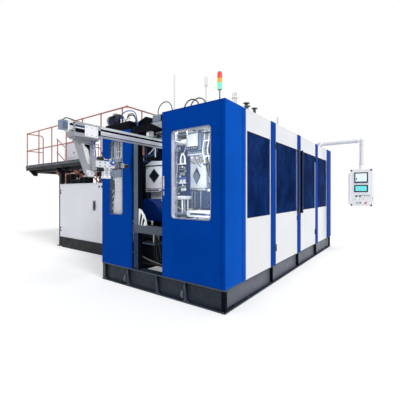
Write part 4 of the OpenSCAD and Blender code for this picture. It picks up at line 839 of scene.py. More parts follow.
with Piece("cabinet_door_trim", "cabinet_paint", "cabinet_door", at=(0, CABINET, 0)) as p:
    for x in (-5039, -3217):
        p.box(x, -3, 345, x + 6, 1, 1828, "cabinet", 1)
    for z in (342, 1824):
        p.box(-5039, -3, z, -3211, 1, z + 6, "cabinet", 1)
    x = -3336
    each(p.box, (x - 105, -5, 1135, x + 34, 1, 1405, "grey", 4),
         (x - 88, -7, 1155, x - 34, -4, 1385, "platewhite"))
    p.lathe([(10, 0), (10, 4), (4, 4), (0, 2)], "steel", x, -6, 1155, "-y", 16)
    p.box(-4980, -3, 420, -4600, 1, 700, "cabinet")
    for i in range(8):
        z = 440 + i * 30
        p.prism([(-2, z), (-13, z + 3), (-2, z + 20)], "x", -4960, -4620, "cabinet")

with Piece("cabinet_handle_trim", "black_plastic", "cabinet_handle", at=(0, CABINET, 0)) as p:
    each(p.box, (x - 18, -46, 1158, x + 18, -40, 1382, "plastic", 4),
         (x - 13, -50, 1180, x + 13, -44, 1250, "plastic"))

# Loader bin on the deck, service units between the cabinet and the deck
with Piece("bin_trim", "cabinet_paint", at=(0, 0, DECK)) as p:
    p.prism([(-5270, 515), (-5165, 645), (-4615, 645), (-4470, 415), (-4485, 405), (-4625, 630),
        (-5158, 630), (-5258, 505)], "y", -1648, -1332, "cabinet")
    for x in (-5200, -4560):
        p.box(x, -1645, 100, x + 20, -1639, 400, "cabinet", 2)
    each(p.box, (-5100, -1648, 160, -4660, -1639, 420, "cabinet", 4),
         (-4730, -1660, 260, -4700, -1646, 320, "plastic", 4))
    p.tube([(-4600, -1490, 300), (-4360, -1490, 340), (-4300, -1490, 220), (-4280, -1490, 30)], 22,
        "greyhose", 12)
    p.post(-4280, -1490, 0, 40, 32, "plastic")

with Piece("service_units", "black_paint") as p:
    for x0, x1, z1 in ((-5000, -4720, 2160), (-4700, -4300, 1990), (-4280, -4020, 2050)):
        each(p.box, (x0, -1740, 1862, x1, -1460, z1, "black", 6),
             (x0 + 30, -1745, 1890, x1 - 30, -1738, z1 - 30, "pitch"))
        for k in range(3):
            xx = x0 + 70 + k * (x1 - x0 - 140) / 2
            p.post(xx, -1600, z1 - 2, z1 + 60, 18, "zinc", 14)
    p.tube([(-4900, -1600, 2200), (-4880, -1600, 2270), (-4750, -1580, 2300), (-4500, -1580, 2220),
        (-4420, -1600, 2040)], 16, "rubber", 10)
    p.rod(-4620, -1700, 2020, -4100, -1700, 2300, 14, "black", 10)


def diamond_plate(name, body, outline, at, half, slot, hip=()):
    """White end plate of a platen with a dark diamond, its bolts and a sloped cover on top."""
    with Piece(name, slot, body, at=(0, -2151, 0)) as p:
        xm, zm = at
        hx, hz = half
        x0, x1 = min(q[0] for q in outline), max(q[0] for q in outline)
        z0, z1 = min(q[1] for q in outline), max(q[1] for q in outline)
        diamond, seat = ([(xm, zm - hz * k), (xm + hx * k, zm), (xm, zm + hz * k), (xm - hx * k, zm)]
                         for k in (1.0, 1.02))
        p.prism(outline, "y", -12, 0, "platebright", holes=[diamond])
        p.prism(seat, "y", -4, -1, "dark")
        if not hip:
            p.prism([(xm - hx, zm), (xm, zm - hz), (xm + hx * 0.6, zm), (xm, zm + hz * 0.5)], "y", -10, -4,
                "bluegrey")
        for sx, sz in product((-1, 1), (-1, 1)):
            p.rod(xm, -13, zm + sz * hz, xm + sx * hx, -13, zm, 3, "steel", 8)
            p.bolt(xm + sx * (x1 - x0) * 0.42, -12, zm + sz * (z1 - z0) * 0.36, "-y", 9, "zinc")
        if hip:
            p.prism(hip, "y", -16, 300, "platewhite")
            p.box(x0 + 10, -18, z1 - 4, x1, 20, z1 + 20, "dark", 2)
        each(p.prism, (rrect(x0 + 50, x1, z0 - 75, z0 - 12, 26, 6), "y", -65, -16, "platewhite"),
             (rrect(x0 + 70, x1 - 30, z0 - 56, z0 - 30, 12, 5), "y", -68, -64, "steel"))
        p.box(x0 + 20, -20, z0 - 16, x1, -1, z0 - 6, "dark", 2)


def clutter(p, lo, hi, n, keys=("platewhite", "steel", "zinc", "bluegrey")):
    """Seeded valves, small cylinders and blocks inside a box-shaped zone."""
    for i in range(n):
        a = [RNG.uniform(l, h) for l, h in zip(lo, hi)]
        k = RNG.choice(keys)
        r = RNG.uniform(12, 30)
        kind = RNG.random()
        if kind < 0.4:
            s = (RNG.uniform(20, 60), RNG.uniform(20, 50), RNG.uniform(30, 90))
            p.box(*[max(l, v - d) for l, v, d in zip(lo, a, s)],
                *[min(h, v + d) for h, v, d in zip(hi, a, s)], k, 4)
        else:
            ax = "z" if kind < 0.8 else "x"
            h = RNG.uniform(50, 140)
            p.lathe([(0, 0), (r, 0), (r, h * 0.6), (r * 0.6, h * 0.64), (r * 0.6, h), (0, h)], k, *a, ax,
                14)


diamond_plate("end_plate_left", "front_left_platen",
    [(-1084, 1700), (-635, 1700), (-635, 2135), (-1084, 2135)], (-851, 1945), (148, 146), "white_paint",
    [(-1084, 2155), (-635, 2155), (-635, 2232), (-909, 2245), (-1084, 2175)])
diamond_plate("end_plate_right", "front_right_platen",
    [(20, 1690), (445, 1690), (445, 2020), (400, 2075), (190, 2225), (20, 2225)], (225, 1905), (85, 160),
    "white_paint")

# Inside the cell
# painted shade: near-black sheets inside the left wall, low behind the front and just above the opening
# stand for the deep shade in the cell
with Piece("dark_lining", "black_paint") as p:
    each(p.box, (-1299, -2975, 330, -1294, -480, 2680, "lining", 1),
         (-1294, -2978, 330, -560, -2973, 1150, "lining", 1))
    for y, z in product((-2200, -1000), (600, 1500, 2300)):
        p.bolt(-1294, y, z, "x", 8, "zinc")
    p.box(-538, -3018.5, 2600, 196, -2981, 2719, "pitch")
    p.prism([(-50, 2717), (194, 2717), (194, 2605)], "y", -3019.6, -3018.4, "grey")
    for x in (-450, -100, 120):
        p.bolt(x, -3018.5, 2660, "-y", 7, "slate", 1.2)

with Piece("post_covers", "frame_paint") as p:
    each(p.box, (-503, -2983.5, 1060, -399, -2980.3, 2598, "postlight", 1),
         (-503, -2983.5, 318, -399, -2980.3, 928, "slate", 1))
    for z in (1120, 1600, 2080, 2540, 380, 860):
        p.bolt(-480, -2983.2, z, "-y", 5, "frame", 1.5)

with Piece("exit_parts", "white_paint") as p:
    p.prism([(-394, 1060), (-222, 1060), (-236, 1150), (-280, 1235), (-340, 1305), (-394, 1335)], "y",
        -2970, -2935, "platebright")
    for k in range(2):
        x = -372 + k * 62
        p.prism([(x, 1066), (x + 30, 1066), (x + 70, 1225 - 75 * k), (x + 38, 1262 - 75 * k)], "y", -2974,
            -2969, "pitch")
    p.post(-200, -2840, 1058, 1120, 12, "platewhite", 14)
    p.lathe(knob(22, 12, 10, 18), "platewhite", -200, -2840, 1110, "z", 16)
    p.box(-905, -2440, 2330, -872, -2390, 2510, "rail", 8)
    each(p.post, (-886, -2410, 2510, 2610, 12, "slate", 14), (-886, -2410, 2200, 2330, 8, "steel", 12))
    each(p.box, (-950, -2450, 2190, -780, -2400, 2220, "slate", 4),
         (-905, -2460, 1930, -890, -2440, 2100, "red"))
    for x, z0, z1, k in ((-600, 2300, 2580, "slate"), (-550, 2270, 2610, "greyhose"),
            (-500, 2360, 2610, "slate"), (-800, 2270, 2600, "slate")):
        p.post(x, -2420, z0, z1, 12, k, 12)
    p.tube([(-580, -2430, 2600), (-520, -2450, 2500), (-600, -2450, 2400), (-700, -2460, 2330)], 8,
        "greyhose", 8)
    each(p.box, (-1190, -2450, 2300, -620, -2410, 2325, "slate", 4),
         (-1100, -2460, 1800, -930, -2420, 1860, "bluegrey", 4))
    for x in (-1060, -1010, -965):
        p.lathe([(12, 0), (14, 30), (8, 34), (8, 50), (0, 50)], "steel", x, -2440, 1860, "z", 12)
    each(p.tube,
         ([(-1060, -2440, 1900), (-1080, -2440, 2020), (-1120, -2440, 2180), (-1130, -2430, 2310)], 8,
          "bluehose", 8),
         ([(-965, -2440, 1900), (-930, -2440, 2000), (-990, -2430, 2120), (-985, -2420, 2220)], 8, "rubber",
          8))

with Piece("roof_pipes", "frame_paint") as p:
    for z, y, r, k in ((2660, -2620, 28, "steel"), (2640, -2520, 20, "zinc"),
            (2670, -2440, 24, "platewhite"), (2630, -2360, 16, "bluegrey")):
        p.rod(-1180, y, z, 1180, y, z, r, k)
        for x in (-1000, -350, 450, 1000):
            p.box(x - 20, y - r - 6, z - r - 6, x + 20, y + r + 6, z + r + 4, "plastic", 4)
    each(p.box, (150, -2360, 2405, 352, -2300, 2680, "platebright", 6),
         (352, -2350, 2410, 364, -2300, 2680, "slate", 2),
         (364, -2370, 2400, 398, -2300, 2680, "platewhite", 4),
         (402, -2360, 2330, 535, -2290, 2660, "bluegrey", 6))
    for k in range(4):
        p.box(412 + 31 * k, -2366, 2350, 426 + 31 * k, -2358, 2620,
            ("slate", "bluegrey", "slate", "steel")[k], 2)
    p.box(130, -2350, 2345, 500, -2300, 2400, "slate", 4)
    for k in range(7):
        p.box(140 + 50 * k, -2358, 2355, 170 + 50 * k, -2348, 2390, ("grey", "steel", "bluegrey")[k % 3], 2)
    p.box(170, -2360, 2235, 520, -2300, 2335, "bluegrey", 6)
    for k in range(3):
        p.box(180 + 20 * k, -2368, 2250 + 28 * k, 510, -2358, 2266 + 28 * k,
            ("platewhite", "steel", "slate")[k])
    for k in range(6):
        x = 545 + k * 32
        p.tube([(x, -2360, 2670), (x + 12, -2390, 2500), (x - 12, -2400, 2300), (x + 15, -2380, 2100),
            (x, -2360, 1960)], 11,
            ("platewhite", "greyhose", "steel", "platewhite", "slate", "platewhite")[k], 8)
    for k in range(5):
        z = 2580 - k * 130
        p.box(545, -2405, z, 700, -2385, z + 22, ("slate", "platewhite")[k % 2])

with Piece("window_machinery", "machined_steel") as p:
    for x, r, k in ((346, 9, "platewhite"), (372, 5, "bluegrey")):
        p.post(x, -2860, 1000, 2615, r, k, 12)
    for z in (1100, 1450, 1620, 1930, 2200, 2500):
        p.box(335, -2875, z, 385, -2845, z + 18, "zinc")
    each(p.box, (-6, -2340, 1330, 215, -2325, 2420, "deepblue", 4),
         (-290, -2340, 1330, -6, -2325, 1745, "deepblue", 4))
    for x, z0, z1, w, k in ((-250, 1600, 1720, 50, "slate"), (-170, 1520, 1700, 40, "bluegrey"),
            (-120, 1500, 1720, 30, "platewhite"), (-70, 1560, 1700, 50, "slate"),
            (-215, 1480, 1560, 70, "steel")):
        p.box(x, -2372, z0, x + w, -2338, z1, k, 5)
    for x, z in ((-235, 1660), (-150, 1600), (-60, 1670)):
        p.lathe(cup(26, 16, 18, 22, 10), "steel", x, -2372, z, "-y", 20)
    p.tube([(-280, -2390, 1700), (-200, -2400, 1620), (-100, -2400, 1560), (20, -2400, 1580)], 8,
        "greyhose", 8)
    p.box(334, -2852, 1560, 394, -2846, 2330, "deepblue")
    for z0, z1, w, k in ((2245, 2300, 30, "platewhite"), (2120, 2200, 22, "bluegrey"),
            (2040, 2056, 50, "platewhite"), (1930, 2010, 26, "slate"), (1840, 1900, 18, "platewhite"),
            (1730, 1800, 30, "bluegrey"), (1650, 1690, 40, "steel"), (1585, 1600, 54, "platewhite")):
        p.box(358, -2862, z0, 358 + w, -2850, z1, k)
    for z in (2160, 1970, 1765):
        p.lathe(knob(11, 6, 7, 8), "platewhite", 370, -2862, z, "-y", 14)
    p.tube([(352, -2872, 2200), (366, -2880, 2120), (386, -2874, 2000), (364, -2874, 1860)], 4,
        "platebright", 8)
    p.rod(340, -2890, 2392, 600, -2890, 2338, 19, "platebright")
    p.post(592, -2890, 2325, 2660, 7, "platewhite", 10)
    each(p.rod, (585, -2890, 2340, 535, -2890, 2210, 6, "platewhite", 10),
         (535, -2890, 2212, 440, -2860, 2212, 5, "zinc", 10))
    x0, x1, y = 0, 165, -2380
    each(p.box, (x0, y, 1600, x1, y + 12, 2345, "slate"),
         (120, y + 10, 2300, 165, y + 90, 2345, "slate", 4))
    each(p.tube,
         ([(50, y - 20, 2115), (58, y - 20, 2220), (100, y - 20, 2285), (142, y - 20, 2220),
          (152, y - 20, 2120)], 14, "platebright", 10),
         ([(80, y - 12, 2120), (92, y - 12, 2190), (118, y - 12, 2200), (122, y - 12, 2120)], 10, "steel",
          8))
    for z, h, k in ((2098, 22, "platebright"), (1765, 22, "platebright"), (1845, 30, "bluehose"),
            (2010, 10, "grey"), (1700, 12, "grey")):
        p.box(x0 + 12, y - 30, z, x1 + 4, y - 2, z + h, k)
    for x, z in ((55, 1930), (115, 1930), (55, 1815), (125, 1815), (80, 1660), (135, 1665)):
        p.lathe([(28, 0), (28, 16), (20, 20), (20, 10), (10, 10), (10, 24), (0, 24)],
            "steel" if z > 1900 else "platewhite", x, y, z, "-y", 20)
    for x, z in ((30, 2050), (85, 2055), (140, 2040), (150, 1980), (35, 1890), (90, 1735), (145, 1720)):
        p.box(x - 12, y - 20, z - 16, x + 12, y - 1, z + 16, RNG.choice(("platewhite", "steel", "zinc")))
    p.box(560, -2340, 1620, 720, -2300, 2020, "bluegrey", 6)
    for k in range(4):
        p.box(568 + 30 * k, -2348, 1660, 576 + 30 * k, -2338, 1990, "slate", 2)
    each(p.box, (610, -2370, 1628, 740, -2330, 1664, "platebright", 4),
         (220, -2335, 1335, 700, -2325, 1640, "slate"))
    for k in range(10):
        x = 225 + k * 50
        x1 = min(695, x + 160)
        z1 = 1345 + (x1 - x) * 1.8
        each(p.rod, (x, -2340, 1345, x1, -2340, z1, 2, "bluegrey", 6),
             (x, -2344, z1, x1, -2344, 1345, 2, "bluehose", 6))
    for x in (268, 330, 455):
        p.post(x, -2352, 1340, 1635, 7, "grey", 10)
    p.prism(rrect(645, 690, 1420, 1630, 18, 5), "y", -2360, -2345, "cream")
    each(p.tube,
         ([(165, -2360, 2215), (200, -2380, 2190), (260, -2385, 2140), (345, -2370, 2095)], 6.5, "rubber",
          8),
         ([(330, -2350, 2220), (370, -2380, 2160), (430, -2385, 2080), (475, -2370, 2030)], 6, "rubber", 8),
         ([(430, -2350, 2220), (440, -2380, 2150), (475, -2385, 2090)], 5, "rubber", 8))
    p.lathe(knob(22, 10, 12, 14), "copper", 505, -2370, 2135, "-y", 16)

with Piece("exit_table", "white_paint") as p:
    x, y = 128, -2500
    each(p.lathe,
         ([(0, 0), (188, 0), (198, 10), (198, 42), (188, 55), (60, 60), (0, 60)], "platewhite", x, y, 1492,
          "z", 40),
         ([(200, 0), (200, 6)], "steel", x, y, 1515, "z", 40))
    for a in (35, 95, 155, 215, 275, 325):
        b = radians(a)
        p.post(x + 130 * cos(b), y + 130 * sin(b), 1270, 1495, 16, "platebright", 14)
    p.lathe([(0, 0), (235, 0), (235, 22), (200, 30), (0, 30)], "bluegrey", x, y, 1245, "z", 36)
    p.post(x, y, 1020, 1490, 45, "slate", 20)
    p.lathe([(0, 0), (100, 0), (100, 50), (60, 70), (0, 70)], "slate", x, y, 1060, "z", 28)
    p.box(x - 30, y - 220, 930, x + 30, y + 220, 1020, "frame", 4)
    p.tube([(300, -2870, 1530), (330, -2840, 1420), (420, -2800, 1335), (540, -2760, 1300)], 7, "greyhose",
        8)
    each(p.prism, (rrect(400, 1020, 1222, 1318, 40, 8), "y", -2660, -2340, "platebright"),
         (rrect(470, 940, 1252, 1290, 18, 6), "y", -2664, -2658, "bluegrey"),
         (rrect(500, 780, 1262, 1280, 8, 4), "y", -2667, -2662, "dark"),
         ([(420, 1090), (1020, 1090), (1020, 1222), (560, 1222), (420, 1170)], "y", -2640, -2360,
          "platewhite"))
    for a, b in ((600, 1200), (700, 1172), (780, 1190), (860, 1165), (930, 1200), (660, 1145)):
        p.lathe(knob(14, 5, 8, 8), "dark", a, -2640, b, "-y", 14)
    each(p.box, (520, -2655, 1125, 600, -2636, 1165, "red", 4),
         (440, -2600, 1055, 980, -2360, 1095, "frame", 4), (300, -2740, 1075, 460, -2660, 1160, "grey", 10),
         (310, -2730, 1160, 400, -2680, 1215, "bluegrey", 8),
         (280, -2750, 1055, 500, -2360, 1080, "slate", 4))

with Piece("valve_wall", "machined_steel") as p:
    each(p.box, (980, -2520, 1450, 1170, -2490, 2550, "platewhite"),
         (560, -2310, 2020, 1170, -2285, 2060, "bluegrey"),
         (720, -2310, 1420, 750, -2285, 2360, "bluegrey"))
    clutter(p, (580, -2360, 2070), (1120, -2280, 2320), 22)
    clutter(p, (760, -2400, 1420), (1120, -2300, 2000), 30)
    clutter(p, (990, -2600, 1500), (1150, -2530, 2450), 20)
    clutter(p, (-1150, -2500, 1350), (-960, -2420, 1750), 9, ("dark", "bluegrey", "steel"))
    for i in range(12):
        x0, x1 = RNG.uniform(620, 1100), RNG.uniform(760, 1100)
        z0, z1 = RNG.uniform(1900, 2350), RNG.uniform(1420, 1900)
        y = RNG.uniform(-2440, -2340)
        p.tube([(x0, y, z0), (x0 + 30, y - 30, (2 * z0 + z1) / 3),
            (x1 - 30, y - 30, (z0 + 2 * z1) / 3 - 80), (x1, y, z1)], RNG.uniform(4, 8),
            RNG.choice(("bluehose", "greyhose", "platewhite", "rubber")), 6, 5)

with Piece("energy_chain", "white_paint", at=(0, -2940, 0)) as p:
    each(p.box, (-1198, 0, 1160, -800, 8, 2600, "pendantwhite"),
         (-1196, -12, 1860, -1118, -1, 2580, "blue"), (-1150, -20, 1900, -1128, -11, 2570, "platewhite"))
    for i in range(26):
        z = 1185 + i * 26
        x = -1098 + 18 * sin(i * 0.9)
        each(p.box, (x, -24, z, -840, -1, z + 22.5, "pendantwhite", 5),
             (x - 14, -20, z + 3, x, -6, z + 14, "steel"))
    p.prism([(-1197, 1190), (-1085, 1190), (-1075, 1400), (-1040, 1620), (-1045, 1840), (-1170, 1860),
        (-1197, 1800)], "y", -34, -25, "pitch")
    for z in (1300, 1400, 1500, 1600):
        p.prism([(-1100, z), (-1045, z + 50), (-1045, z + 68), (-1100, z + 18)], "y", -37, -33,
            "platewhite")
    each(p.prism, ([(-1197, 1620), (-1150, 1660), (-1150, 1850), (-1197, 1850)], "y", -38, -33, "blue"),
         ([(-1197, 1165), (-1130, 1165), (-1105, 1215), (-1150, 1225), (-1197, 1190)], "y", -38, -34,
          "pendantwhite"))
    p.box(-1118, -22, 1905, -860, -1, 2225, "bluegrey", 10)
    p.lathe(cup(60, 12, 40, 16, 8), "steel", -1000, -14, 2090, "-y")
    for x, z0, z1, k in ((-1095, 2250, 2560, "slate"), (-1050, 2240, 2500, "steel"),
            (-985, 2260, 2580, "bluegrey"), (-920, 2240, 2520, "slate")):
        p.post(x, -14, z0, z1, 10, k, 12)
    for z, k in ((2430, "grey"), (2330, "steel"), (1885, "bluegrey")):
        p.box(-1130, -24, z, -850, -2, z + 20, k)
    p.box(-1198, -4, 2585, -700, 50, 2630, "frame", 4)

with Piece("hydraulics", "black_paint") as p:
    each(p.box, (-1020, -2580, 330, -420, -2220, 660, "dark", 10),
         (-1035, -2595, 655, -405, -2205, 675, "bluegrey", 4))
    p.lathe([(0, 0), (95, 0), (100, 20), (100, 240), (85, 270), (0, 270)], "dark", -860, -2560, 785, "y",
        28)
    for dx, dz in around(12, 102):
        p.rod(dx - 860, -2540, dz + 785, dx - 860, -2340, dz + 785, 6, "dark", 6)
    p.box(-700, -2520, 680, -500, -2360, 840, "steel", 6)
    for x in (-670, -600, -530):
        p.rod(x, -2540, 800, x, -2600, 800, 18, "dark", 14)
        p.post(x, -2440, 840, 900, 14, "zinc", 12)
    each(p.tube,
         ([(-670, -2440, 900), (-660, -2460, 920), (-450, -2520, 860), (-340, -2600, 600),
          (-300, -2620, 400)], 16, "rubber", 10),
         ([(-600, -2440, 900), (-520, -2500, 910), (-300, -2600, 750), (-180, -2640, 450)], 14, "rubber",
          10),
         ([(-1100, -2700, 420), (-800, -2740, 360), (-400, -2720, 370), (100, -2700, 350),
          (700, -2660, 350), (1100, -2600, 400)], 20, "rubber", 10),
         ([(-1100, -2620, 500), (-700, -2680, 460), (-100, -2660, 350), (500, -2600, 350),
          (1100, -2520, 420)], 16, "greyhose", 10))
    for x in (-1140, -1080):
        p.post(x, -2500, 330, 920, 18, "zinc", 14)
    p.box(-50, -2750, 330, 500, -2300, 345, "bluegrey")

# Take-out robot
with Piece("beam_trim", "beam_metal", at=BEAM) as p:
    for s in (-1, 1):
        x = s * 55
        for a, b, k in ((2, 14, "pitch"), (20, 24, "alu"), (46, 52, "dark"), (70, 96, "pitch"),
                (100, 104, "alu")):
            lo, hi = sorted((x - s, x + s * 1.2))
            p.box(lo, 20, a, hi, 2180, b, k, 0.4)
    p.box(-50, 30, 130, 50, 1980, 134, "alu", 1.5)
    for s in (-1, 1):
        p.box(s * 44 - 6, 30, 134, s * 44 + 6, 1950, 137, "dark", 0.8)
    for i in range(9):
        p.bolt(0, 120 + i * 210, 134, "z", 6)
    p.box(12, 1310, 134.5, 46, 1640, 146, "greenpad")

with Piece("beam_end", "black_plastic", at=BEAM) as p:
    each(p.box, (-44, -73.5, 10, 44, -30, 126, "bluegrey", 6), (40, -70, 30, 58, -2, 105, "bluegrey", 4))
    for k in range(4):
        p.box(56, -62 + k * 15, 34, 60, -56 + k * 15, 101, "slate", 1)
    for a, b in product((-1, 1), (22, 112)):
        p.bolt(a * 34, -73.2, b, "-y", 5, "zinc", 2)
    for k in range(5):
        p.box(-40, -66 + k * 12, 124, 40, -60 + k * 12, 129, "dark", 1)
    p.tube([(-20, -30, 126), (-20, 20, 170), (-30, 200, 155), (-35, 500, 143)], 7, "rubber", 8)
    p.rod(0, 2200, 50, 0, 2235, 50, 30, "steel", 20)

with Piece("carriage_trim", "white_paint", "robot_carriage", at=CARRIAGE) as p:
    for s in (-1, 1):
        x = s * 100
        lo, hi = sorted((x - s, x + s * 4))
        each(p.box, (lo, -235, -45, hi, -45, 100, "platebright"), (lo, -366, -10, hi, -240, 36, "pitch", 2),
             (lo, -366, 40, hi, -240, 54, "alu", 2), (lo, -366, 58, hi, -240, 78, "slate", 2),
             (lo, -40, -10, hi, -4, 60, "pitch", 2))
        a, b = sorted((s * 4, s * 10))
        p.prism([(-220, -125), (-60, -125), (-60, -500), (-115, -500)], "x", a, b, "alu")
        a, b = sorted((s * 9, s * 13))
        p.prism([(-185, -132), (-85, -132), (-85, -160), (-102, -175), (-102, -330), (-130, -200),
            (-165, -165), (-185, -160)], "x", a, b, "pitch")
        for yy, zz in product((-210, -140, -70), (-20, 75)):
            p.bolt(x + s * 3, yy, zz, "x" if s > 0 else "-x", 7)
        for yy in (-358, -12):
            p.box(s * 68, yy - 16, 98, s * 98, yy + 16, 118, "dark")
    p.box(-72, -355, -82, 72, -15, -76, "grey", 2)
    a0, a1, zt = -330, -30, -76
    for s in (-1, 1):
        x = s * 14.5
        lo, hi = sorted((x, x + s * 10))
        each(p.prism,
             ([(a0 + 2, zt - 2), (a0 + 32, zt - 2), (a1 - 140, zt - 420), (a1 - 145, zt - 438)], "x", lo,
              hi, "grey"),
             ([(a1 - 30, zt - 2), (a1 - 2, zt - 2), (a1 + 8, zt - 418), (a1 - 18, zt - 438)], "x", lo, hi,
              "platebright"))
        p.box(lo, a0, zt - 30, hi, a1, zt, "grey", 2)
        p.prism([(a1 - 150, zt - 398), (a1 + 4, zt - 398), (a1 - 30, zt - 478), (a1 - 112, zt - 478)], "x",
            lo, hi, "alu")
        for yy, zz in ((a1 - 115, zt - 445), (a1 - 55, zt - 445), (a0 + 30, zt - 15), (a1 - 30, zt - 15)):
            p.bolt(s * 24.5, yy, zz, "x" if s > 0 else "-x", 8)
    zb = zt - 304
    p.box(-50, -55, zb - 46, 50, 258, zb + 46, "platewhite", 5)
    for yy, zz in product((20, 100, 180), (zb - 22, zb + 22)):
        p.lathe(cup(9, 2, 5, 2, 0), "dark", 50, yy, zz, "x", 14)
    for dz in (74, -72):
        each(p.rod, (26, -55, zb + dz, 26, 95, zb + dz, 24.5, "dark", 18),
             (26, 90, zb + dz, 26, 220, zb + dz, 7, "steel", 12))
        p.box(0, 200, zb + dz - 18, 52, 235, zb + dz + 18, "steel", 4)
        for yy in (-45, 80):
            p.lathe([(27.5, 0), (27.5, 12)], "zinc", 26, yy, zb + dz, "y", 18)
            p.post(26, yy + 6, zb + dz + 20, zb + dz + 42, 6, "bluehose", 10)
    p.lathe([(0, -43), (24, -36), (38, -20), (43, 0), (38, 20), (24, 36), (0, 43)], "bluehose", 0, 262, zb,
        "z", 22)
    for x in (-115, -60, 60, 115):
        p.bolt(x, 324, zb, "-y", 6)
    each(p.lathe, (knob(36, 12, 24, 18), "bluehose", 50.5, 222, zb + 32, "x"),
         (head(13, 13, 6, 6), "pendantwhite", 67, 222, zb + 36, "x", 16))
    for yy in (90, 160):
        each(p.box, (-20, yy, zb - 185, 48, yy + 30, zb - 44, "platewhite", 4),
             (-24, yy - 6, zb - 192, 52, yy + 36, zb - 160, "pendantwhite", 4))
        each(p.bolt, (48, yy + 15, zb - 80, "x", 5, "dark"), (48, yy + 15, zb - 120, "x", 5, "dark"))
    each(p.tube,
         ([(30, -30, zb + 110), (50, -60, zb + 200), (60, -100, zt - 100), (50, -100, zt + 10)], 6,
          "bluehose", 8),
         ([(30, 80, zb + 110), (20, 40, zb + 220), (45, -50, zt - 80), (50, -60, zt + 10)], 5, "rubber", 8))

for s, side in ((-1, "left"), (1, "right")):
    with Piece("finger_pad_" + side, "black_plastic", side + "_finger",
            at=(BEAM[0] + s * 70, -3601, BEAM[2] - 380)) as p:
        each(p.box, (-20, -19.5, -40, 20, -15.5, 40, "steel", 1), (-14, 62, 19, 14, 150, 24, "zinc", 2))
        q = -s * 34
        lo, hi = sorted((q, q - s * 1.5))
        for k in range(5):
            p.box(lo, 142, -26 + k * 11, hi, 158, -20 + k * 11, "rubber", 0.4)

# Extruder
with Piece("barrel_trim", "band_metal", at=(0, 0, 2760)) as p:
    for i in range(8):
        x = -4300 + i * 460
        p.lathe(band(103, 106, -150, 150, 3), "band", x, 0, 0, "x", 32)
        for dx in (-110, 0, 110):
            p.lathe(band(106, 109, -10, 10, 2), "zinc", x + dx, 0, 0, "x", 32)
            p.box(x + dx - 10, -125, 20, x + dx + 10, -100, 34, "zinc", 2)
        p.box(x - 45, -20, 104, x + 45, 30, 150, "ceramic", 5)
        p.tube([(x, 30, 130), (x + 20, 100, 145), (x + 30, 200, 80), (x + 30, 260, -40)], 8, "orangehose",
            8)
        p.post(x + 160, 0, 85, 170, 6, "copper", 10)
    p.box(-4600, 235, -100, -750, 285, -35, "zinc", 4)
    for i in range(7):
        x = -4300 + i * 550
        p.box(x - 10, 0, -140, x + 10, 280, -100, "zinc")

with Piece("gearbox_trim", "blue_paint") as p:
    for x, y in product((-5350, -5150, -4950), (-190, 190)):
        p.bolt(x, y, 3020, "z", 14)
    p.box(-5340, -160, 3018, -4960, 160, 3026, "blue")
    each(p.lathe, (cup(50, 20, 30, 30, 50), "plastic", -5150, 0, 3020, "z", 20),
         (knob(150, 12, 135, 18), "steel", -5390, 0, 2760, "-x", 32))
    for dy, dz in around(8, 125):
        p.bolt(-5402, dy, dz + 2760, "-x", 9)
    for z in (2560, 2960):
        p.box(-5392, -232, z - 6, -4908, 232, z + 6, "blue")

with Piece("drive_fins", "blue_paint") as p:
    for k in range(28):
        b = 2 * pi * k / 28
        if sin(b) > 0.9:
            continue
        p.prism([(160, -3), (188, -2), (188, 2), (160, 3)], "z", 270, 840, "blue",
            xf=turned((-5290, 0, 2740), -90, "X", b))
    p.lathe(knob(148, 4, 100, 10), "dark", -5290, 900, 2740, "y", 32)
    for r in (40, 70, 100, 130):
        p.lathe([(r, 9), (r + 4, 13), (r + 8, 9)], "zinc", -5290, 900, 2740, "y", 32)
    p.box(-5365, 430, 2958, -5215, 630, 2968, "greyplastic", 4)
    p.tube([(-5290, 600, 2930), (-5240, 700, 3020), (-5120, 660, 2960), (-5060, 500, 2700),
        (-5050, 400, 2550)], 16, "rubber", 10)

with Piece("hopper_trim", "machined_steel", at=(-4630, 0, 0)) as p:
    each(p.lathe, (band(270.5, 274, 0, 40, 4), "steel", 0, 0, 3300, "z", 40),
         ([(286, 0), (289, 4), (289, 26), (286, 30), (262, 30)], "steel", 0, 0, 3661, "z", 40))
    each(p.box, (-50, -279, 3400, 50, -262, 3620, "steel", 4),
         (-35, -282, 3420, 35, -277, 3600, "pane_tint", 2))
    for dx, dy in around(8, 125, pi / 8):
        p.bolt(dx, dy, 2925, "z", 10)
    for b in (0.6, 2.5):
        p.rod(270 * cos(b), 270 * sin(b), 3500, 300 * cos(b), 300 * sin(b), 3500, 12,
            "steel", 12)

with Piece("head_trim", "machined_steel", at=(HEAD_X, 0, 0)) as p:
    for z0, z1 in ((2370, 2520), (2560, 2710), (2750, 2900)):
        p.lathe([(171, z0), (175, z0 + 4), (175, z1 - 4), (171, z1)], "band", n=40)
        for s in (0.35, 0.65):
            zz = z0 + (z1 - z0) * s
            p.lathe([(175, zz - 6), (178, zz - 4), (178, zz + 4), (175, zz + 6)], "zinc", n=40)
        p.box(165, -35, z0 + 20, 205, 35, z1 - 20, "ceramic", 4)
        p.tube([(200, 0, (z0 + z1) / 2), (280, 20, (z0 + z1) / 2 + 40), (320, 100, z1 + 80),
            (340, 220, 2980), (400, 600, 2800)], 9, "orangehose", 8)
    for dx, dy in around(12, 165):
        p.bolt(dx, dy, 3030, "z", 12)
    each(p.lathe, (band(58, 66, 3200, 3240, 5), "zinc"), (band(58, 70, 3940, 3980, 5), "zinc"))
    p.lathe([(160, 2326), (120, 2322), (50, 2322), (50, 2330)], "steel", n=32)

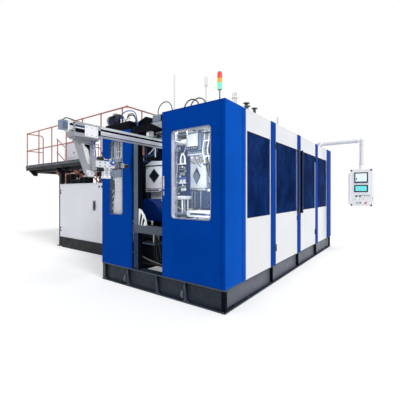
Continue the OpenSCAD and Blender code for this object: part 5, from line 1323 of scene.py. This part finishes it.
# Roof
with Piece("tower_lenses", "lamp_plastic", at=(1200, -2930, 0)) as p:
    for z0, z1, k in ((3016, 3104, "lens_green"), (3108, 3168, "lens_amber"), (3172, 3240, "lens_red")):
        n = 5
        prof = [(30.2, z0)]
        for i in range(n):
            a = z0 + (z1 - z0) * i / n
            b = z0 + (z1 - z0) * (i + 1) / n
            prof += [(33.5, a + 3), (33.5, b - 3), (31, b)]
        p.lathe(prof, k, n=28)
    for z in (3106, 3170):
        p.lathe([(31, z - 3), (34, z - 2), (34, z + 2), (31, z + 3)], "dark", n=28)
    p.lathe([(26.5, 3245), (30, 3247), (26, 3252.5), (0, 3253.5)], "dark", n=28)
    p.lathe([(34, 2720), (34, 2729), (16, 2740), (11.5, 2760)], "greyplastic")

with Piece("fan_motor", "frame_paint") as p:
    y, z = -2880, 2945
    for k in range(26):
        b = 2 * pi * k / 26
        p.prism([(83, -2.2), (98, -1.4), (98, 1.4), (83, 2.2)], "z", 45, 240, "dark",
            xf=turned((-1265, y, z), 90, "Y", b))
    each(p.lathe, (band(86, 100, 0, 44, 4), "greyplastic", -1266, y, z, "x", 32),
         (head(96, 90, 8, 10), "greyplastic", -1265.5, y, z, "-x", 32),
         ([(90, 0), (96, 3), (96, 22), (60, 30), (41, 32)], "dark", -1005, y, z, "x", 32))
    each(p.box, (-1160, y - 45, z + 80, -1070, y + 45, z + 125, "greyplastic", 4),
         (-1302, -2977, 2846, -618, -2738, 2853, "dark", 2))
    for xx in (-900, -820, -740, -680):
        p.lathe([(18, 0), (18, 20), (12, 24), (12, 50), (16, 55), (16, 75), (0, 80)],
            "platewhite" if xx < -800 else "steel", xx, -2930, 2853, "z", 16)
    each(p.tube,
         ([(-900, -2930, 2930), (-860, -2940, 3010), (-700, -2950, 3040), (-500, -2960, 2980),
          (-440, -2955, 2800), (-440, -2950, 2722)], 9, "bluehose", 10),
         ([(-740, -2930, 2930), (-700, -2920, 2990), (-600, -2900, 2980), (-550, -2890, 2860),
          (-540, -2885, 2722)], 7, "rubber", 8))
    for xx, yy in product((-1260, -660), (-2950, -2765)):
        p.bolt(xx, yy, 2853, "z", 8)

with Piece("hood_trim", "black_paint") as p:
    y0, y1 = -2720, -2220
    for y in (y0 - 3, y1 - 10):
        p.prism([(-814, 2836), (-485, 2941), (-96, 2816), (-96, 2832), (-485, 2957.5), (-814, 2852)], "y",
            y, y + 13, "slate")
    p.prism([(-500, 2948), (-470, 2948), (-485, 2958)], "y", y0, y1, "slate")
    p.prism([(-780, 2735), (-130, 2735), (-130, 2795), (-485, 2905), (-780, 2812)], "y", y0 - 4, y0 - 1,
        "pitch", holes=[rect(-600, -370, 2755, 2815)])
    for i in range(7):
        z = 2757 + i * 8
        p.prism(rect(-598, -372, z, z + 4), "y", y0 - 10, y0 - 1, "slate")
    for x in (-740, -640, -330, -200):
        p.bolt(x, y0 - 4, 2765, "-y", 6, "slate")
    for i in range(5):
        yy = y0 + 50 + i * 100
        each(p.bolt, (-812, yy, 2760, "-x", 6, "slate"), (-98, yy, 2760, "x", 6, "slate"))
    p.prism(rect(-2700, -2240, 2724, 2812), "x", -99, -96, "grey", holes=[rect(-2600, -2340, 2745, 2792)])
    for i in range(5):
        p.prism(rect(-2595, -2345, 2747 + i * 9, 2751 + i * 9), "x", -99, -90, "dark")

with Piece("roof_valves", "machined_steel") as p:
    for x, y in ((1280, -2300), (1220, -2160), (1260, -1980)):
        p.post(x, y, 2720, 2900, 18, "zinc")
        p.box(x - 35, y - 30, 2820, x + 35, y + 30, 2880, "steel", 6)
        p.post(x, y, 2880, 2970, 22, "frame")
        p.lathe(knob(50, 10, 12, 14), "grey", x, y, 2965, "z", 20)
        p.rod(x - 70, y, 2850, x, y, 2850, 14, "grey", 14)
    p.box(1180, -2340, 2718, 1320, -1940, 2735, "frame")
    each(p.tube,
         ([(1210, -2300, 2850), (1100, -2320, 2860), (1020, -2360, 2800), (1000, -2380, 2722)], 12,
          "rubber", 10),
         ([(1150, -2160, 2850), (1050, -2180, 2900), (950, -2220, 2840), (930, -2240, 2722)], 10, "rubber",
          10))
    p.post(1250, -1300, 2720, 2840, 14, "dark", 14)
    p.lathe(knob(20, 30, 12, 40), "dark", 1250, -1300, 2840, "z", 16)
    each(p.box, (-50, -2980, 2720, 140, -2600, 2850, "grey", 6),
         (-45, -2984, 2740, 135, -2978, 2830, "bluegrey", 4))

for y, end in ((-1800, "front"), (1800, "rear")):
    with Piece("blow_trim_" + end, "machined_steel", end + "_blow_unit", at=(HEAD_X, y, 0)) as p:
        for x in (-400, 400):
            p.lathe(band(26, 36, 0, 16, 2), "zinc", x, 0, 2605, "z")
        for dx in (-110, 110):
            each(p.bolt, (dx, 0, 2605, "z", 12), (dx, -60, 2575, "-y", 10))
        p.lathe([(36, 2585), (46, 2587), (46, 2600), (36, 2603)], "copper", n=20)
        p.rod(0, -40, 2527, 0, -75, 2527, 9, "bluehose", 10)

with Piece("bridge_trim", "frame_paint", at=(HEAD_X, 0, 0)) as p:
    for y in (-1800, 1800):
        each(p.lathe, (band(63, 67, 2800, 2827, 2), "zinc", 0, y, 0, "z", 28),
             (band(63, 68, 3110, 3140, 2), "zinc", 0, y, 0, "z", 28))
        for dx, dy in around(4, 75, pi / 4):
            p.post(dx, y + dy, 2760, 3135, 7, "steel", 10)
        for dx in (-380, 380):
            each(p.bolt, (dx, y - 90, 2760, "z", 10), (dx, y + 90, 2760, "z", 10))
        p.tube([(65, y, 3060), (130, y - 20, 3080), (210, y - 40, 2980), (230, y - 60, 2765)], 10,
            "bluehose", 10)

# Grip of the rear side door
x0, x1, y0, y1 = 1356.5, 1395.5, 110, 172

with Piece("side_grip", "black_plastic", "side_door_b") as p:
    p.prism(rrect(y0, y1, 1165, 2524, 10, 3), "x", x0, x1, "pitch")
    each(p.box, (1340.5, y0 - 30, 1172, x1 - 2, y1 - 4, 1215, "pitch"),
         (1340.5, y0 + 4, 2476, x0 + 2, y1 - 4, 2519, "pitch"))
    for z in (1200, 2490):
        p.bolt(x1, (y0 + y1) / 2, z, "x", 4, "dark", 0.4)

# Operator pendant
with Piece("pendant_face", "cabinet_paint", "pendant") as p:
    f = 2087
    x0, x1, z0, z1 = 2025, 2515, 1265, 2205
    p.prism(rrect(x0 + 4, x1 - 4, z0 + 4, z1 - 4, 20, 6), "y", f - 3, f + 1, "pendantwhite",
        holes=[rrect(x0 + 18, x1 - 18, z0 + 18, z1 - 18, 14, 6)])
    for x, z in product((x0 + 22, x1 - 22), (z0 + 24, z1 - 24)):
        p.lathe(knob(21, 7, 12, 11), "pitch", x, f - 1, z, "-y", 20)
    for x in (2182, 2250, 2376):
        p.lathe([(24.5, 0), (24.5, 3), (20, 4), (19, 2)], "steel", x, f, 1351, "-y")
    for i in range(5):
        x = 2130 + i * 50
        p.lathe(knob(10, 3, 6, 6), ("green", "lens_green", "greyplastic", "lens_amber", "greyplastic")[i],
            x, f, 1445, "-y", 16)
    for i in range(4):
        for j in range(2):
            x = 2300 + i * 50
            z = 1500 + j * 40
            p.box(x - 18, f - 4, z - 13, x + 18, f + 1, z + 13, "greyplastic" if j else "platewhite")
    p.lathe(knob(26, 5, 18, 9), "dark", 2165, f, 1520, "-y", 22)
    each(p.box, (2160, f - 12, 1505, 2170, f - 6, 1535, "greyplastic", 2),
         (2225, f - 3, 1498, 2265, f + 1, 1545, "dark"))
    for i in range(6):
        each(p.box, (x0 - 1, f + 50 + i * 12, 1400, x0 + 1, f + 55 + i * 12, 1520, "dark", 0.5),
             (x1 - 1, f + 50 + i * 12, 1400, x1 + 1, f + 55 + i * 12, 1520, "dark", 0.5))
    for z, s in product((1350, 1750, 2120), (-1, 1)):
        x = 2270 + s * 246
        p.bolt(x, 2180, z, "x" if s > 0 else "-x", 6)
    yb = 2265
    p.prism(rrect(2060, 2480, 1330, 2140, 20, 5), "y", yb, yb + 3, "cabinet",
        holes=[rrect(2075, 2465, 1345, 2125, 14, 5)])
    for i in range(8):
        p.prism([(yb, 1440 + i * 20), (yb + 6, 1443 + i * 20), (yb, 1452 + i * 20)], "x", 2170, 2370,
            "cabinet")

with Piece("pendant_screens", "screen", "pendant", at=(0, 2077, 0)) as p:
    for z0, z1, up in ((1857, 2124, True), (1626, 1805, False)):
        a, b = 2117, 2423
        p.prism(rrect(a, b, z0, z1, 8, 4), "y", -2.5, 0, "pitch",
            holes=[rrect(a + 26, b - 26, z0 + 26, z1 - 26, 4, 4)])
        p.prism(rrect(a + 18, b - 18, z0 + 18, z1 - 18, 4, 4), "y", -1.2, -0.2,
            "screen_up" if up else "screen_low")
        if up:
            for i in range(5):
                p.box(a + 110, -1.8, z1 - 66 - i * 30, a + 230, -1.1, z1 - 62 - i * 30, "screen_low", 0.3)
            each(p.box, (a + 40, -1.8, z0 + 70, a + 62, -1.1, z0 + 140, "screen_dark", 0.3),
                 (a + 26, -1.8, z0 + 24, b - 26, -1.1, z0 + 40, "screen_bar", 0.3))
        else:
            for i in range(4):
                for j in range(3):
                    p.box(a + 34 + i * 62, -1.8, z0 + 30 + j * 42, a + 84 + i * 62, -1.1, z0 + 58 + j * 42,
                        "screen_key", 0.3)

with Piece("pendant_arm_trim", "cabinet_paint", "pendant_arm") as p:
    for n, at, way in ((852, (1345, 2180, 2950), "x"), (570, (2270, 2180, 2325), "z")):
        p.lathe([(38.5, 0), (46.5, 2), (47.5, 6), (47.5, 12), (47.5, n - 12), (47.5, n - 6), (46.5, n - 2),
            (38.5, n)], "cabinet", *at, way, 32)
    each(p.lathe,
         ([(0, -60), (34, -50), (52, -30), (60, 0), (52, 30), (34, 50), (0, 60)], "cabinet", 2270, 2180,
          2950, "x", 32),
         ([(38.5, 0), (55, 3), (56, 8), (56, 14), (56, 44), (56, 50), (47.5, 58)], "cabinet", 2270, 2180,
          2322, "z", 32))
    for x in (1360, 2160):
        p.lathe(band(47, 53, -12, 12, 3), "cabinet", x, 2180, 2950, "x", 28)
    each(p.lathe, ([(47, 0), (53, 3), (53, 20), (47, 24)], "cabinet", 2270, 2180, 2840, "z", 28),
         (head(52, 46, 6, 8), "dark", 1250, 2180, 2996, "z", 28))


# Materials of the CAD nodes
dress("blue", "front_panels", "side_pillars", "front_door", "extruder_drive")
dress("white", "white_panels", "side_door_a", "side_door_b")
dress("platewhite", "platen_front_left", "platen_front_right", "platen_rear_left", "platen_rear_right")
dress("grey", "robot_carriage")
dress("pane_tint", "fixed_panes", "side_door_a_pane", "side_door_b_pane")
dress("pane_clear", "front_door_pane")
dress("base", "base_frame", "extruder_stand")
dress("frame", "cell_frame", "carriage_front", "carriage_rear", "blow_bridges", "deck")
dress("pitch", "roof_motor")
# painted highlight: the top of the roof motor, above 2.86 m, takes a lighter paint than its near-black
# body, standing for the light on it
dress_where("slate", "roof_motor", lambda c: c.z > 2.86)
dress("black", "door_hinges", "platform_supports")
dress("plastic", "side_door_a_fittings", "side_door_b_fittings", "cabinet_handle", "finger_left",
      "finger_right", "hmi_screens", "mode_selector")
dress("rail", "railing", "stair")
dress("cabinet", "cabinet", "cabinet_door", "feed_bin")
dress("steel", "front_door_fittings", "shuttle_rails", "blow_unit_front", "blow_unit_rear", "die_head",
      "feed_hopper")
dress("steel_x", "barrel", "screw")
dress("mould", "mould_front_left", "mould_front_right", "mould_rear_left", "mould_rear_right")
dress("band", "heater_bands")
dress("alu", "robot_beam")
dress_where("pane_clear", "fixed_panes", lambda c: c.y < -2.9)
dress_where("bluegrey", "robot_beam", lambda c: c.y < -4.362)
# painted highlight: the outer edges of the top and bottom flanges take the lighter base paint
dress_where("edge", "base_frame", lambda c: (c.z > 0.298 or c.z < 0.017)
            and (abs(abs(c.x) - 1.34) < 0.003 or abs(abs(c.y) - 3.02) < 0.003))
# painted highlight: the outer edges at mid height on the side and front take the lighter base paint
dress_where("edge", "base_frame", lambda c: 0.05 < c.z < 0.26
            and (1.31 < abs(c.x) < 1.345 or 2.99 < abs(c.y) < 3.025))
# painted shade: faces of the side beam between its flanges, x 1.286 to 1.336 m, are made near-black for the
# shade in that recess
dress_where("pitch", "base_frame", lambda c: 0.02 < c.z < 0.29 and 1.286 < c.x < 1.336)
# painted highlight: faces of the side beam at x 1.262 to 1.285 m and the lugs standing out of the front
# take a lighter paint
dress_where("hook", "base_frame", lambda c: 0.03 < c.z < 0.28 and 1.262 < c.x < 1.285)
dress_where("hook", "base_frame", lambda c: c.y < -3.0208 and 0.03 < c.z < 0.28)
dress_where("blue", "door_hinges", lambda c: c.y < -2.9)
dress_where("blue", "front_door_fittings", lambda c: c.x > 1.0)
dress_where("black", "cabinet", lambda c: c.z < 0.31)
dress_where("pitch", "carriage_front", lambda c: c.y < -2.14)
dress("deepblue", "exit_casing")
dress("pitch", "roof_hood")
dress("pendantwhite", "hmi_arm", "hmi_box")
# painted highlight: the long-side faces of the front panels take the lighter copy of the blue paint
dress_where("painted_lit_blue", "front_panels", lambda c: c.x > 1.33)
# painted shade: the side face of the front post at x -0.396 m is made near-black for the shade in the gap
# beside it
dress_where("pitch", "cell_frame", lambda c: c.y < -2.85 and abs(c.x + 0.396) < 0.004 and c.z < 2.5)
# painted shade: the frame beams above the opening, over 2.6 m high, are made near-black for the deep shade
# under the roof
dress_where("pitch", "cell_frame", lambda c: c.z > 2.60 and c.y < -2.10 and -1.25 < c.x < 0.19)
dress("green", "start_button")
dress("red", "stop_button")
dress("greyplastic", "stack_light")
dress("rubber", "roof_hoses")
